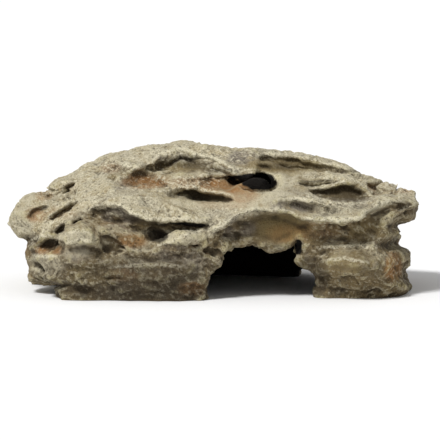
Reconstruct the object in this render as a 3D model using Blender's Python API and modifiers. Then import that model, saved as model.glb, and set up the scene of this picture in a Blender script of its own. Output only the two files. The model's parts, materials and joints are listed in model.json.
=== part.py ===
"""Resin cave ornament: a low hollow rock with a front and a rear entrance, bonded from polyresin castings.

Frame: origin on the floor under the middle of the ornament, +X along its length, +Y from the front
entrance to the back, +Z up. Sizes are in millimetres, and are scaled to metres where a mesh is made.

The whole rock is sculpted first as one mass. It is then hollowed, and split into its castings along
the strata where the real ornament is bonded.
"""

import math

import bmesh
import bpy
import numpy as np
from mathutils import Matrix, Vector

MM = 0.001
FRONT_FOOT = -65  # the front walls stand on the floor along this line
GLUE_LINE = 0.3  # gap between bonded castings
SCULPT_VOXEL = 1.3
LIP = 1.5  # how far below its line a pocket reaches its depth
TRIANGLES = 9000  # the whole hollow rock, before it is split

# Cross-sections of the roof: x, ridge height, ridge y, rim height, front rim y, back rim y.
ROOF_SECTIONS = (
    (-124, 46, -22, 36, -36, -6),
    (-114, 54, -14, 33, -48, 20),
    (-98, 60, -4, 32, -57, 42),
    (-86, 66, 2, 36, -62, 52),
    (-72, 75, 6, 45, -66, 59),
    (-46, 80, 8, 49, -69, 65),
    (-20, 84, 8, 44, -70, 69),
    (-4, 81, 8, 39, -70, 71),
    (12, 80, 8, 45, -69, 71),
    (27, 79, 8, 50, -68, 70),
    (49, 78, 8, 47, -70, 68),
    (68, 75, 6, 44, -71, 65),
    (86, 69, 2, 47, -69, 60),
    (104, 63, -4, 52, -62, 50),
    (123, 55, -12, 46, -48, 22),
)
ROOF_THICKNESS = 16

# Plan outline of the walls, anticlockwise from the front left corner.
WALL_OUTLINE = (
    (-86, -63), (-60, -66), (-20, -66), (20, -60), (60, -52), (68, -57), (104, -56), (112, -46), (115, -8),
    (109, 40), (82, 60), (30, 69), (-30, 69), (-78, 61), (-106, 48), (-115, 32), (-115, 9), (-94, 6),
    (-90, -30),
)
WALL_TOP = 44

# The rock's outline as its views show it. Top: x and rise. Ends: rise and x, from the floor up.
TOP_OUTLINE = (
    (-121, 45), (-116, 53), (-114, 59), (-103, 62.5), (-98, 63.5), (-94, 70), (-82, 73.5), (-76, 79.5),
    (-63, 84.5), (-46, 88), (-22, 92.5), (-13, 92.5), (-5, 90), (5, 88), (21, 88.5), (47, 86.5), (58, 84),
    (79, 79), (85, 74), (101, 69), (109, 65.5), (116, 60), (120, 55),
)
LEFT_OUTLINE = (
    (8, -109), (16, -107), (20, -110), (30, -110), (34, -109), (38, -119), (45, -120.5), (53, -116.5),
    (60, -114),
)
RIGHT_OUTLINE = (
    (1, 111), (6, 116), (11, 113), (17, 112.5), (24, 115), (27, 114), (30, 107), (39, 107), (45, 110),
    (48, 116), (56, 120), (60, 116),
)

# Views that the relief is laid out in: azimuth, elevation, and the point its rise is counted from.
VIEWS = {
    "front": (0, 6.5, (0, FRONT_FOOT, 0)),
    "right": (90, 12, (112, 0, 0)),
    "back": (180, 12, (0, 69, 0)),
    "left": (-90, 12, (-108, 0, 0)),
    "top": (0, 90, (0, 0, 0)),
}

# Swellings of the front walls: x, y, z, then the three radii.
BULGES = (
    (-82, -42, 17, 17, 24, 13),
    (-77, -48, 33, 17, 17, 7),
    (-36, -48, 14, 32, 21, 15),
    (-18, -56, 35, 18, 14, 5),
    (86, -38, 19, 27, 26, 10),
)

# Relief strokes. Each follows a line of (across, rise) points in its view, and fades above and below it.
# A positive height stands proud. A negative one is a pocket, sharp along the line and closing below it.
# The values are: the line, the reach above, the reach below, the height.
RELIEF = {
    "front": (
        # left rim of the roof, and the long undercut beneath it
        (((-68, 67), (-54, 54), (-43, 48.5), (-23, 46), (-3, 44)), 7, 2, 3),
        (((-74, 51.5), (-62, 50), (-48, 47.5), (-28, 45.5), (-3, 43)), 0, 7, -13),
        # left pier: rough shelf, round hole, pale boulder, belly and hollow foot
        (((-32, 38), (-18, 40), (-4, 39)), 2, 5, 4),
        (((-41, 36.5), (-33, 38), (-25, 36.5)), 0, 5, -12),
        (((-89, 34), (-80, 39), (-64, 37)), 3, 6, 5),
        (((-88, 30), (-76, 31), (-62, 30)), 0, 6, -3),
        (((-60, 14), (-37, 17), (-12, 15)), 9, 9, 4),
        (((-90, 9), (-60, 7), (-30, 5)), 0, 5, -2),
        # tongue and far left
        (((-98, 37), (-88, 42), (-76, 49)), 0, 5, -8),
        (((-107, 33), (-97, 35), (-87, 33)), 0, 5.5, -10),
        (((-113, 51), (-105, 55), (-97, 55)), 0, 7, -6),
        (((-104, 61), (-95, 63)), 0, 5, -4),
        (((-94, 61), (-86, 67), (-79, 71)), 0, 4.5, -7),
        (((-100, 47), (-90, 53), (-79, 58)), 0, 5, -7),
        # middle of the roof: three recesses one above the other
        (((-27, 63), (-10, 61), (-2, 60), (13, 57.5)), 0, 5, -13),
        (((-26, 68), (-19, 70), (-10, 65), (2, 61.5), (11, 59)), 6, 1.5, 3),
        (((-55, 69.5), (-40, 71.5), (-23, 69)), 0, 6, -7),
        (((-66, 76), (-54, 79)), 0, 3, -4),
        (((-49, 73), (-39, 76.5), (-30, 84), (-20, 87), (-12, 84), (1, 81), (15, 76)), 3, 8, -9),
        (((-8, 70.5), (0, 71.5), (15, 72.5)), 4, 1, 4),
        (((-12, 69), (0, 71), (10, 70)), 0, 12, -8),
        (((8, 72), (18, 75.5), (30, 74.5), (38, 69)), 0, 8, -20),
        # right of the roof: long lip at the top, a slot, an oval recess
        (((22, 82), (45, 83), (62, 80.5), (74, 77.5), (86, 73)), 3, 6, -10),
        (((47, 70), (60, 70.5), (76, 68)), 0, 2.5, -9),
        (((52, 67), (62, 66), (74, 64.5), (88, 63)), 0, 6, -9),
        (((97, 69), (109, 65)), 0, 3, -4),
        (((31, 54), (37, 57), (49, 57), (58, 54), (68, 51.5)), 4, 1, 3),
        (((36, 55.5), (50, 55.5), (68, 50)), 0, 6, -6),
        # right rim of the roof over the hollow lintel and the pier
        (((-6, 37), (14, 46.5), (27, 51), (40, 51), (49, 48.5), (58, 45.5), (80, 45.5), (90, 50), (104, 55)),
         5, 2, 3),
        (((-2, 37), (14, 45.5), (27, 50), (40, 50), (49, 47.5), (56, 43), (80, 43), (92, 49), (106, 54)),
         0, 10, -9),
        # right pier: strata, belly, hollow foot
        (((58, 35), (85, 34.5), (109, 34)), 0, 2, -4),
        (((58, 30.5), (85, 29.5), (109, 29.5)), 0, 2.5, -5),
        (((62, 20), (85, 21), (108, 19)), 7, 8, 5),
        (((58, 9), (85, 8.5), (112, 9)), 0, 5, -3),
    ),
    "back": (
        (((-96, 46), (-60, 50), (-20, 47), (30, 50), (70, 47), (104, 40)), 6, 2, 3),
        (((-98, 44), (-60, 48.5), (-20, 45), (30, 48.5), (70, 45), (106, 38)), 0, 8, -10),
        (((-70, 66), (-50, 70), (-30, 66)), 0, 6, -9),
        (((-14, 62), (8, 66), (26, 62)), 0, 6, -12),
        (((-6, 78), (16, 82), (40, 77)), 3, 7, -8),
        (((44, 70), (60, 71), (74, 66)), 0, 5, -9),
        (((62, 58), (80, 58), (96, 52)), 0, 4, -7),
        (((-44, 58), (-24, 60), (-10, 57)), 0, 4, -7),
        (((-92, 56), (-82, 61), (-72, 62)), 0, 4, -6),
        (((-30, 28), (0, 33), (34, 30), (70, 31)), 4, 5, 4),
        (((-30, 22), (10, 25), (60, 23), (92, 25)), 0, 5, -5),
        (((-96, 30), (-80, 33), (-60, 30)), 5, 5, 4),
        (((40, 12), (66, 15), (92, 12)), 7, 7, 5),
        (((0, 12), (16, 13), (30, 11)), 0, 4, -4),
    ),
    "left": (
        (((-40, 38), (-10, 34), (20, 38), (44, 44)), 5, 2, 3),
        (((-40, 35), (-10, 31), (20, 35), (50, 42)), 0, 7, -9),
        (((-28, 52), (-10, 55), (8, 52)), 0, 5, -7),
        (((10, 62), (24, 63), (34, 58)), 0, 4, -6),
        (((-20, 21), (4, 23), (40, 20)), 6, 6, 4),
        (((-44, 13), (0, 14), (44, 12)), 0, 4, -4),
    ),
    "right": (
        (((-52, 50), (-20, 54), (10, 50), (44, 44)), 5, 2, 3),
        (((-52, 47), (-20, 51), (10, 47), (48, 41)), 0, 8, -9),
        (((-34, 64), (-14, 67), (6, 63)), 0, 5, -8),
        (((16, 60), (30, 59), (40, 54)), 0, 4, -6),
        (((-50, 33), (-20, 34), (30, 32)), 0, 3, -5),
        (((-46, 22), (-10, 24), (40, 21)), 7, 7, 5),
        (((-46, 10), (0, 11), (44, 9)), 0, 4, -3),
    ),
    "top": (
        (((-60, 30), (-40, 34), (-18, 30)), 3, 8, -6),
        (((4, 22), (24, 27), (46, 22)), 3, 8, -7),
        (((56, 14), (74, 18), (90, 12)), 3, 6, -5),
        (((-90, 14), (-78, 20), (-66, 18)), 3, 6, -5),
        (((-10, 50), (10, 54), (34, 50)), 3, 6, -5),
    ),
}

# Crags: size of the noise along x, y and z, and its height.
CRAGS = ((46, 46, 26, 2.6), (20, 20, 9, 1.5), (9, 9, 5, 0.7))

# The hollow inside: x, y, z, then the three radii.
CAVE = (
    (0, 4, 0, 78, 52, 62),
    (-44, 8, 0, 36, 44, 50),
    (52, 6, 0, 44, 42, 50),
)

FRONT_ENTRANCE = (
    (-7, -5), (-4, 14.5), (-2, 17), (3.5, 21), (5, 27), (9, 31), (18, 31.5), (20, 33.5), (27.5, 30), (31, 27),
    (39, 28), (44, 30), (47, 34.5), (50, 32), (50, 27), (47.5, 22), (50, 18), (57, 16), (61, 10), (60, 4),
    (58, -5),
)
REAR_ENTRANCE = ((49, -5), (49, 5), (55, 6), (60, 14), (66, 24), (78, 23), (86, 12), (88, -5))

# The seam under the roof, hidden in its undercuts, and the seam of the left wing: x, z.
ROOF_SEAM = (
    (-200, 32), (-112, 33), (-98, 36), (-88, 42), (-76, 49.5), (-62, 50), (-48, 47), (-28, 45), (-7, 42),
    (-4, 36), (14, 45.5), (27, 49.5), (40, 49.5), (49, 47), (57, 44), (80, 44), (92, 49), (106, 54),
    (200, 54),
)
WING_SEAM = ((-96, -50), (-96, 44), (-88, 52), (-82, 62), (-82, 150))

# The walls' castings in plan: x, y.
SIDE = 200
WALL_REGIONS = {
    "left_pier": ((-SIDE, -SIDE), (-4, -SIDE), (-4, 2), (-SIDE, 2)),
    "lintel": ((-3.7, -SIDE), (46.5, -SIDE), (46.5, 2), (-3.7, 2)),
    "right_pier": ((46.8, -SIDE), (SIDE, -SIDE), (SIDE, -4), (46.8, -4)),
    "left_end_wall": ((-SIDE, 2.3), (-62, 2.3), (-62, SIDE), (-SIDE, SIDE)),
    "back_wall": ((-61.7, 2.3), (56, 2.3), (56, SIDE), (-61.7, SIDE)),
    "right_end_wall": ((56.3, -3.7), (SIDE, -3.7), (SIDE, SIDE), (56.3, SIDE)),
}

PAINT_ROUGHNESS = 0.85
COLOURS = {
    "roof_shell": (0.45, 0.39, 0.27),
    "left_wing": (0.42, 0.37, 0.25),
    "left_pier": (0.22, 0.18, 0.11),
    "lintel": (0.14, 0.10, 0.05),
    "right_pier": (0.19, 0.15, 0.08),
    "left_end_wall": (0.17, 0.13, 0.08),
    "back_wall": (0.16, 0.13, 0.08),
    "right_end_wall": (0.15, 0.11, 0.06),
}


def link(name, mesh):
    obj = bpy.data.objects.new(name, mesh)
    bpy.context.scene.collection.objects.link(obj)
    return obj


def object_of(name, bm):
    mesh = bpy.data.meshes.new(name)
    bm.to_mesh(mesh)
    bm.free()
    return link(name, mesh)


def applied(obj):
    """The object with its modifiers made real."""
    graph = bpy.context.evaluated_depsgraph_get()
    mesh = bpy.data.meshes.new_from_object(obj.evaluated_get(graph))
    obj.modifiers.clear()
    obj.data = mesh
    return obj


def roof_cage():
    """A closed loft of coarse cross-sections, rounded by subdivision."""
    bm = bmesh.new()
    rings = []
    for x, ridge, ridge_y, rim, front, back in ROOF_SECTIONS:
        under = rim - ROOF_THICKNESS
        profile = (
            (front, rim),
            (front * 0.62 + ridge_y * 0.38, rim * 0.52 + ridge * 0.48),
            (front * 0.28 + ridge_y * 0.72, rim * 0.18 + ridge * 0.82),
            (ridge_y, ridge),
            (back * 0.45 + ridge_y * 0.55, rim * 0.2 + ridge * 0.8),
            (back * 0.85 + ridge_y * 0.15, rim * 0.6 + ridge * 0.4),
            (back, rim * 0.9),
            (back - 6 if back > 12 else back - 2, under),
            (ridge_y, under),
            (front + 8, under),
        )
        rings.append([bm.verts.new((x * MM, y * MM, z * MM)) for y, z in profile])
    for near, far in zip(rings, rings[1:]):
        for i in range(len(near)):
            j = (i + 1) % len(near)
            bm.faces.new((near[i], near[j], far[j], far[i]))
    bm.faces.new(rings[0][::-1])
    bm.faces.new(rings[-1])
    bmesh.ops.recalc_face_normals(bm, faces=bm.faces)
    roof = object_of("roof_cage", bm)
    smooth = roof.modifiers.new("round", "SUBSURF")
    smooth.levels = smooth.render_levels = 2
    return applied(roof)


def extruded(name, outline, near, far, plane="XZ"):
    """A flat outline drawn in the XZ or XY plane, extruded from near to far along the third axis."""
    bm = bmesh.new()
    if plane == "XZ":
        points = [Vector((a, near, b)) for a, b in outline]
        travel = Vector((0, far - near, 0))
    else:
        points = [Vector((a, b, near)) for a, b in outline]
        travel = Vector((0, 0, far - near))
    face = bm.faces.new([bm.verts.new(p * MM) for p in points])
    moved = bmesh.ops.extrude_face_region(bm, geom=[face])["geom"]
    bmesh.ops.translate(bm, verts=[g for g in moved if isinstance(g, bmesh.types.BMVert)], vec=travel * MM)
    bmesh.ops.recalc_face_normals(bm, faces=bm.faces)
    return object_of(name, bm)


def ellipsoids(name, rows):
    bm = bmesh.new()
    for x, y, z, *radii in rows:
        matrix = Matrix.Translation(Vector((x, y, z)) * MM) @ Matrix.Diagonal((*(r * MM for r in radii), 1))
        bmesh.ops.create_uvsphere(bm, u_segments=24, v_segments=16, radius=1, matrix=matrix)
    return object_of(name, bm)


def joined(name, objects):
    bm = bmesh.new()
    for obj in objects:
        bm.from_mesh(obj.data)
        bpy.data.objects.remove(obj)
    return object_of(name, bm)


def remeshed(obj, voxel=SCULPT_VOXEL):
    remesh = obj.modifiers.new("fuse", "REMESH")
    remesh.mode = "VOXEL"
    remesh.voxel_size = voxel * MM
    return applied(obj)


def eased(obj):
    """Takes single-vertex spikes off."""
    smooth = obj.modifiers.new("ease", "SMOOTH")
    smooth.factor, smooth.iterations = 0.5, 2
    return applied(obj)


def cut(obj, cutter, operation="DIFFERENCE"):
    boolean = obj.modifiers.new("cut", "BOOLEAN")
    boolean.operation = operation
    boolean.object = cutter
    applied(obj)
    bpy.data.objects.remove(cutter)
    return obj


def points_of(mesh, attribute):
    """The vertices' places or normals as an array."""
    values = np.empty(len(mesh.vertices) * 3, np.float32)
    (mesh.vertices if attribute == "co" else mesh.vertex_normals).foreach_get(
        "co" if attribute == "co" else "vector", values
    )
    return values.reshape(-1, 3).astype(float)


def moved_to(mesh, places):
    mesh.vertices.foreach_set("co", places.astype(np.float32).ravel())
    mesh.update()


def gradient_noise(points, seed):
    """Perlin noise at each point, in about -0.7 to 0.7."""
    draw = np.random.default_rng(seed)
    shuffle = draw.permutation(256)
    slopes = draw.normal(size=(256, 3))
    slopes /= np.linalg.norm(slopes, axis=1)[:, None]
    cell = np.floor(points).astype(int)
    inside = points - cell
    blend = inside**3 * (inside * (inside * 6 - 15) + 10)
    total = np.zeros(len(points))
    for corner in np.ndindex(2, 2, 2):
        at = (cell + corner) & 255
        slope = slopes[shuffle[(shuffle[(shuffle[at[:, 0]] + at[:, 1]) & 255] + at[:, 2]) & 255]]
        weight = np.prod(np.where(corner, blend, 1 - blend), axis=1)
        total += weight * np.sum(slope * (inside - corner), axis=1)
    return total


def smooth_step(low, high, values):
    t = np.clip((values - low) / (high - low), 0, 1)
    return t * t * (3 - 2 * t)


def view_axes(view):
    azimuth, elevation, base = VIEWS[view]
    a, e = math.radians(azimuth), math.radians(elevation)
    right = np.array((math.cos(a), math.sin(a), 0))
    sight = np.array((-math.sin(a) * math.cos(e), math.cos(a) * math.cos(e), -math.sin(e)))
    return right, sight, np.cross(right, sight), np.array(base, float)


def stroke_height(across, rise, line, above, below, height):
    """How far one stroke lifts (or, below zero, cuts) the surface at each place in its view."""
    xs, zs = np.array(line).T
    along = np.clip((across - xs[0]) / (xs[-1] - xs[0]), 0, 1)
    ends = np.sqrt(np.clip(1 - (2 * along - 1) ** 4, 0, 1))
    offset = rise - np.interp(across, xs, zs)
    if height < 0:
        lip = smooth_step(-above, LIP, -offset)
        return height * ends * lip * np.exp(-((np.minimum(offset, 0) / below) ** 4))
    return height * ends * np.exp(-((offset / np.where(offset > 0, above, below)) ** 2))


def carve(rock, view):
    """Moves what a view shows by its strokes, halfway between its line of sight and the surface's."""
    right, sight, up, base = view_axes(view)
    places = points_of(rock.data, "co") / MM
    normals = points_of(rock.data, "normal")
    facing = smooth_step(0.05, 0.35, -(normals @ sight))
    outward = normals - sight
    outward /= np.linalg.norm(outward, axis=1)[:, None] + 1e-6
    wobble = [gradient_noise(places / 14, seed) * 4 for seed in (1, 2)]
    across = (places - base) @ right + wobble[0]
    rise = (places - base) @ up + wobble[1]
    height = sum(stroke_height(across, rise, *stroke) for stroke in RELIEF[view])
    moved_to(rock.data, (places + outward * (height * facing)[:, None]) * MM)
    return remeshed(eased(rock))


def fit_outline(rock):
    """Draws the rock out to its outline as the front view shows it."""
    right, _, up, base = view_axes("front")
    places = points_of(rock.data, "co") / MM
    across, rise = (places - base) @ right, (places - base) @ up
    bins = np.arange(-130, 131, 2)
    slot = np.digitize(across, bins)
    tops = np.array([rise[slot == i].max() if (slot == i).any() else np.nan for i in range(1, len(bins))])
    middles = bins[:-1] + 1
    known = ~np.isnan(tops)
    xs, zs = np.array(TOP_OUTLINE).T
    short = np.interp(across, xs, zs) - np.interp(across, middles[known], tops[known])
    rise_moved = rise + short * smooth_step(44, 60, rise)
    places += up * (rise_moved - rise)[:, None]
    for outline, end, foot in ((LEFT_OUTLINE, -1, 8), (RIGHT_OUTLINE, 1, -1)):
        levels = np.arange(0, 62, 2)
        slot = np.digitize(rise_moved, levels)
        reach = np.array([(end * across)[slot == i].max() for i in range(1, len(levels))])
        rises, ends = np.array(outline).T
        tip = np.interp(rise_moved, levels[:-1] + 1, reach)
        short = np.interp(rise_moved, rises, ends) - end * tip
        share = smooth_step(-24, -3, end * across - tip) * (1 - smooth_step(56, 66, rise_moved))
        share *= smooth_step(foot, foot + 5, rise_moved)
        places += right * (short * share)[:, None]
    moved_to(rock.data, places * MM)
    return rock


def roughen(rock):
    places = points_of(rock.data, "co") / MM
    height = np.zeros(len(places))
    for seed, (*size, strength) in enumerate(CRAGS, 3):
        height += gradient_noise(places / size, seed) * strength / 0.7
    moved_to(rock.data, (places + points_of(rock.data, "normal") * height[:, None]) * MM)
    return remeshed(rock)


def rock_mass():
    walls = extruded("walls", WALL_OUTLINE, -6, WALL_TOP, "XY")
    rock = remeshed(joined("rock", [roof_cage(), walls, ellipsoids("bulges", BULGES)]))
    for view in ("back", "left", "right", "top", "front"):
        rock = carve(rock, view)
    return remeshed(fit_outline(fit_outline(roughen(rock))))


def hollowed(rock):
    front = extruded("front", FRONT_ENTRANCE, -90, 0)
    rear = extruded("rear", REAR_ENTRANCE, 0, 90)
    core = remeshed(joined("core", [ellipsoids("cave", CAVE), front, rear]), 1.0)
    return remeshed(cut(rock, core))


def thinned(rock):
    """Fewer, larger facets, with no sliver left between them."""
    fewer = rock.modifiers.new("thin", "DECIMATE")
    fewer.ratio = TRIANGLES / sum(len(face.vertices) - 2 for face in rock.data.polygons)
    return applied(rock)


def part_of(whole, name, region):
    return cut(link(name, whole.data.copy()), region, "INTERSECT")


def castings(rock):
    """The rock split into its castings: what lies above the roof seam, then the walls in plan."""
    half = GLUE_LINE / 2
    above = [(x, z + half) for x, z in ROOF_SEAM] + [(SIDE, SIDE), (-SIDE, SIDE)]
    below = [(x, z - half) for x, z in ROOF_SEAM] + [(SIDE, 0), (-SIDE, 0)]
    beside_wing = [(x + half, z) for x, z in WING_SEAM] + [(SIDE, SIDE), (SIDE, -SIDE)]
    wing_side = [(x - half, z) for x, z in WING_SEAM] + [(-SIDE, SIDE), (-SIDE, -SIDE)]
    top = part_of(rock, "top", extruded("above", above, -SIDE, SIDE))
    walls = part_of(rock, "walls", extruded("below", below, -SIDE, SIDE))
    pieces = [
        part_of(top, "roof_shell", extruded("region", beside_wing, -SIDE, SIDE)),
        part_of(top, "left_wing", extruded("region", wing_side, -SIDE, SIDE)),
    ]
    for name, outline in WALL_REGIONS.items():
        pieces.append(part_of(walls, name, extruded("region", outline, -1, SIDE, "XY")))
    for whole in (rock, top, walls):
        bpy.data.objects.remove(whole)
    return pieces


def seated(piece):
    """Puts the piece's origin in the middle of its underside."""
    corners = np.array(piece.bound_box)
    middle = Vector((*((corners.min(0) + corners.max(0)) / 2)[:2], corners[:, 2].min()))
    piece.data.transform(Matrix.Translation(-middle))
    piece.location = middle


def painted(piece):
    """Its own matt paint, in the casting's mean colour."""
    paint = bpy.data.materials.new(f"{piece.name}_paint")
    paint.use_nodes = True
    shader = paint.node_tree.nodes["Principled BSDF"]
    shader.inputs["Base Color"].default_value = (*COLOURS[piece.name], 1)
    shader.inputs["Roughness"].default_value = PAINT_ROUGHNESS
    shader.inputs["Metallic"].default_value = 0
    piece.data.materials.clear()
    piece.data.materials.append(paint)


def main():
    for obj in list(bpy.data.objects):
        bpy.data.objects.remove(obj)
    ornament = bpy.data.collections.new("resin_cave_ornament")
    bpy.context.scene.collection.children.link(ornament)
    for piece in castings(thinned(hollowed(rock_mass()))):
        bpy.context.scene.collection.objects.unlink(piece)
        ornament.objects.link(piece)
        seated(piece)
        painted(piece)


main()
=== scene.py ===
"""Looks of the resin cave ornament: a fine rock surface and its paint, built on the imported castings.

Sizes are in millimetres in the object's frame, and are scaled to metres where a mesh is made. The
castings are joined into one surface, which is sculpted, painted and then parted again at the seams.
"""

import json
import math

import bmesh
import bpy
import numpy as np
import openvdb
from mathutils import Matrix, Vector, kdtree


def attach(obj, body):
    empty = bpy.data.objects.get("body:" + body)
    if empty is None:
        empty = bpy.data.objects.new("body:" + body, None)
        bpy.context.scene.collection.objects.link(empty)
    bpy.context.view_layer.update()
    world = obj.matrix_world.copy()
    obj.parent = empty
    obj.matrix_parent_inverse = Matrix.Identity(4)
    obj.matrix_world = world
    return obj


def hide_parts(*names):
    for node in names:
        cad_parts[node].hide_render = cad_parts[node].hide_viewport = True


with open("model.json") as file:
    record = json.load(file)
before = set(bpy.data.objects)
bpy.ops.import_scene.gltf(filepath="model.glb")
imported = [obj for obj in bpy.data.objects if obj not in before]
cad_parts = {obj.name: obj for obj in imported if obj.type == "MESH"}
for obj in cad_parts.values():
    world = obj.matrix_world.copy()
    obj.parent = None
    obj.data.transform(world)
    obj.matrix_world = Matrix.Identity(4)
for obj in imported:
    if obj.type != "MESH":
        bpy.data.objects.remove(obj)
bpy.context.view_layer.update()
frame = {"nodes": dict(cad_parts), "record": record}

MM = 0.001
VOXEL = 0.86  # the finest detail of the surface
CLOSING = 1.8  # bridges the glue lines and fills the finest creases
SWELL = 0.9  # makes up for what smoothing takes off
SMOOTHING = 14  # rounds, before the relief is carved
BROAD = 40  # rounds that leave only the broad form
RIDGE_GAIN, POCKET_GAIN = 1.4, 0.62  # on all heights and depths in the tables
UNDERCUT = 0.3  # how far a pocket reaches up behind its top edge, as a share of its depth
FOOT_DEPTH = 4  # how far the foot is carried below the floor before it is cut flat again
CREST_SHARPNESS = 2.6  # of ridged noise
OUTLINE_STEP = 1.2  # between places where the outline is fitted
GAP_BLUR = (0.06, 0.12, 0.2, 0.24, 0.2, 0.12, 0.06)  # evens out the fit along the outline
MOST_FITTED = 6  # a larger gap means that no rock stands beside the outline there
SEEN, NEARLY_SEEN, PAINTED = (0.02, 0.3), (-0.35, 0.1), (-0.5, 0.1)  # limits for facing()
CAMERA_RANGE = 4000  # to the rock's middle
MIDDLE = 65  # how far the rock's middle lies behind the base of a view
PICTURE_WIDTH = 256.3  # at that range
AIM = (3.5, 46)  # across and rise of the middle of the front view
SIDE = 200  # beyond the rock on every side

# Views that the relief and the stains are laid out in: azimuth, elevation, and the
# point that across and rise are counted from.
VIEWS = {
    "front": (0, 6.5, (0, -65, 0)),
    "right": (90, 12, (112, 0, 0)),
    "back": (180, 12, (0, 69, 0)),
    "left": (-90, 12, (-108, 0, 0)),
    "top": (0, 90, (0, 0, 0)),
}

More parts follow.
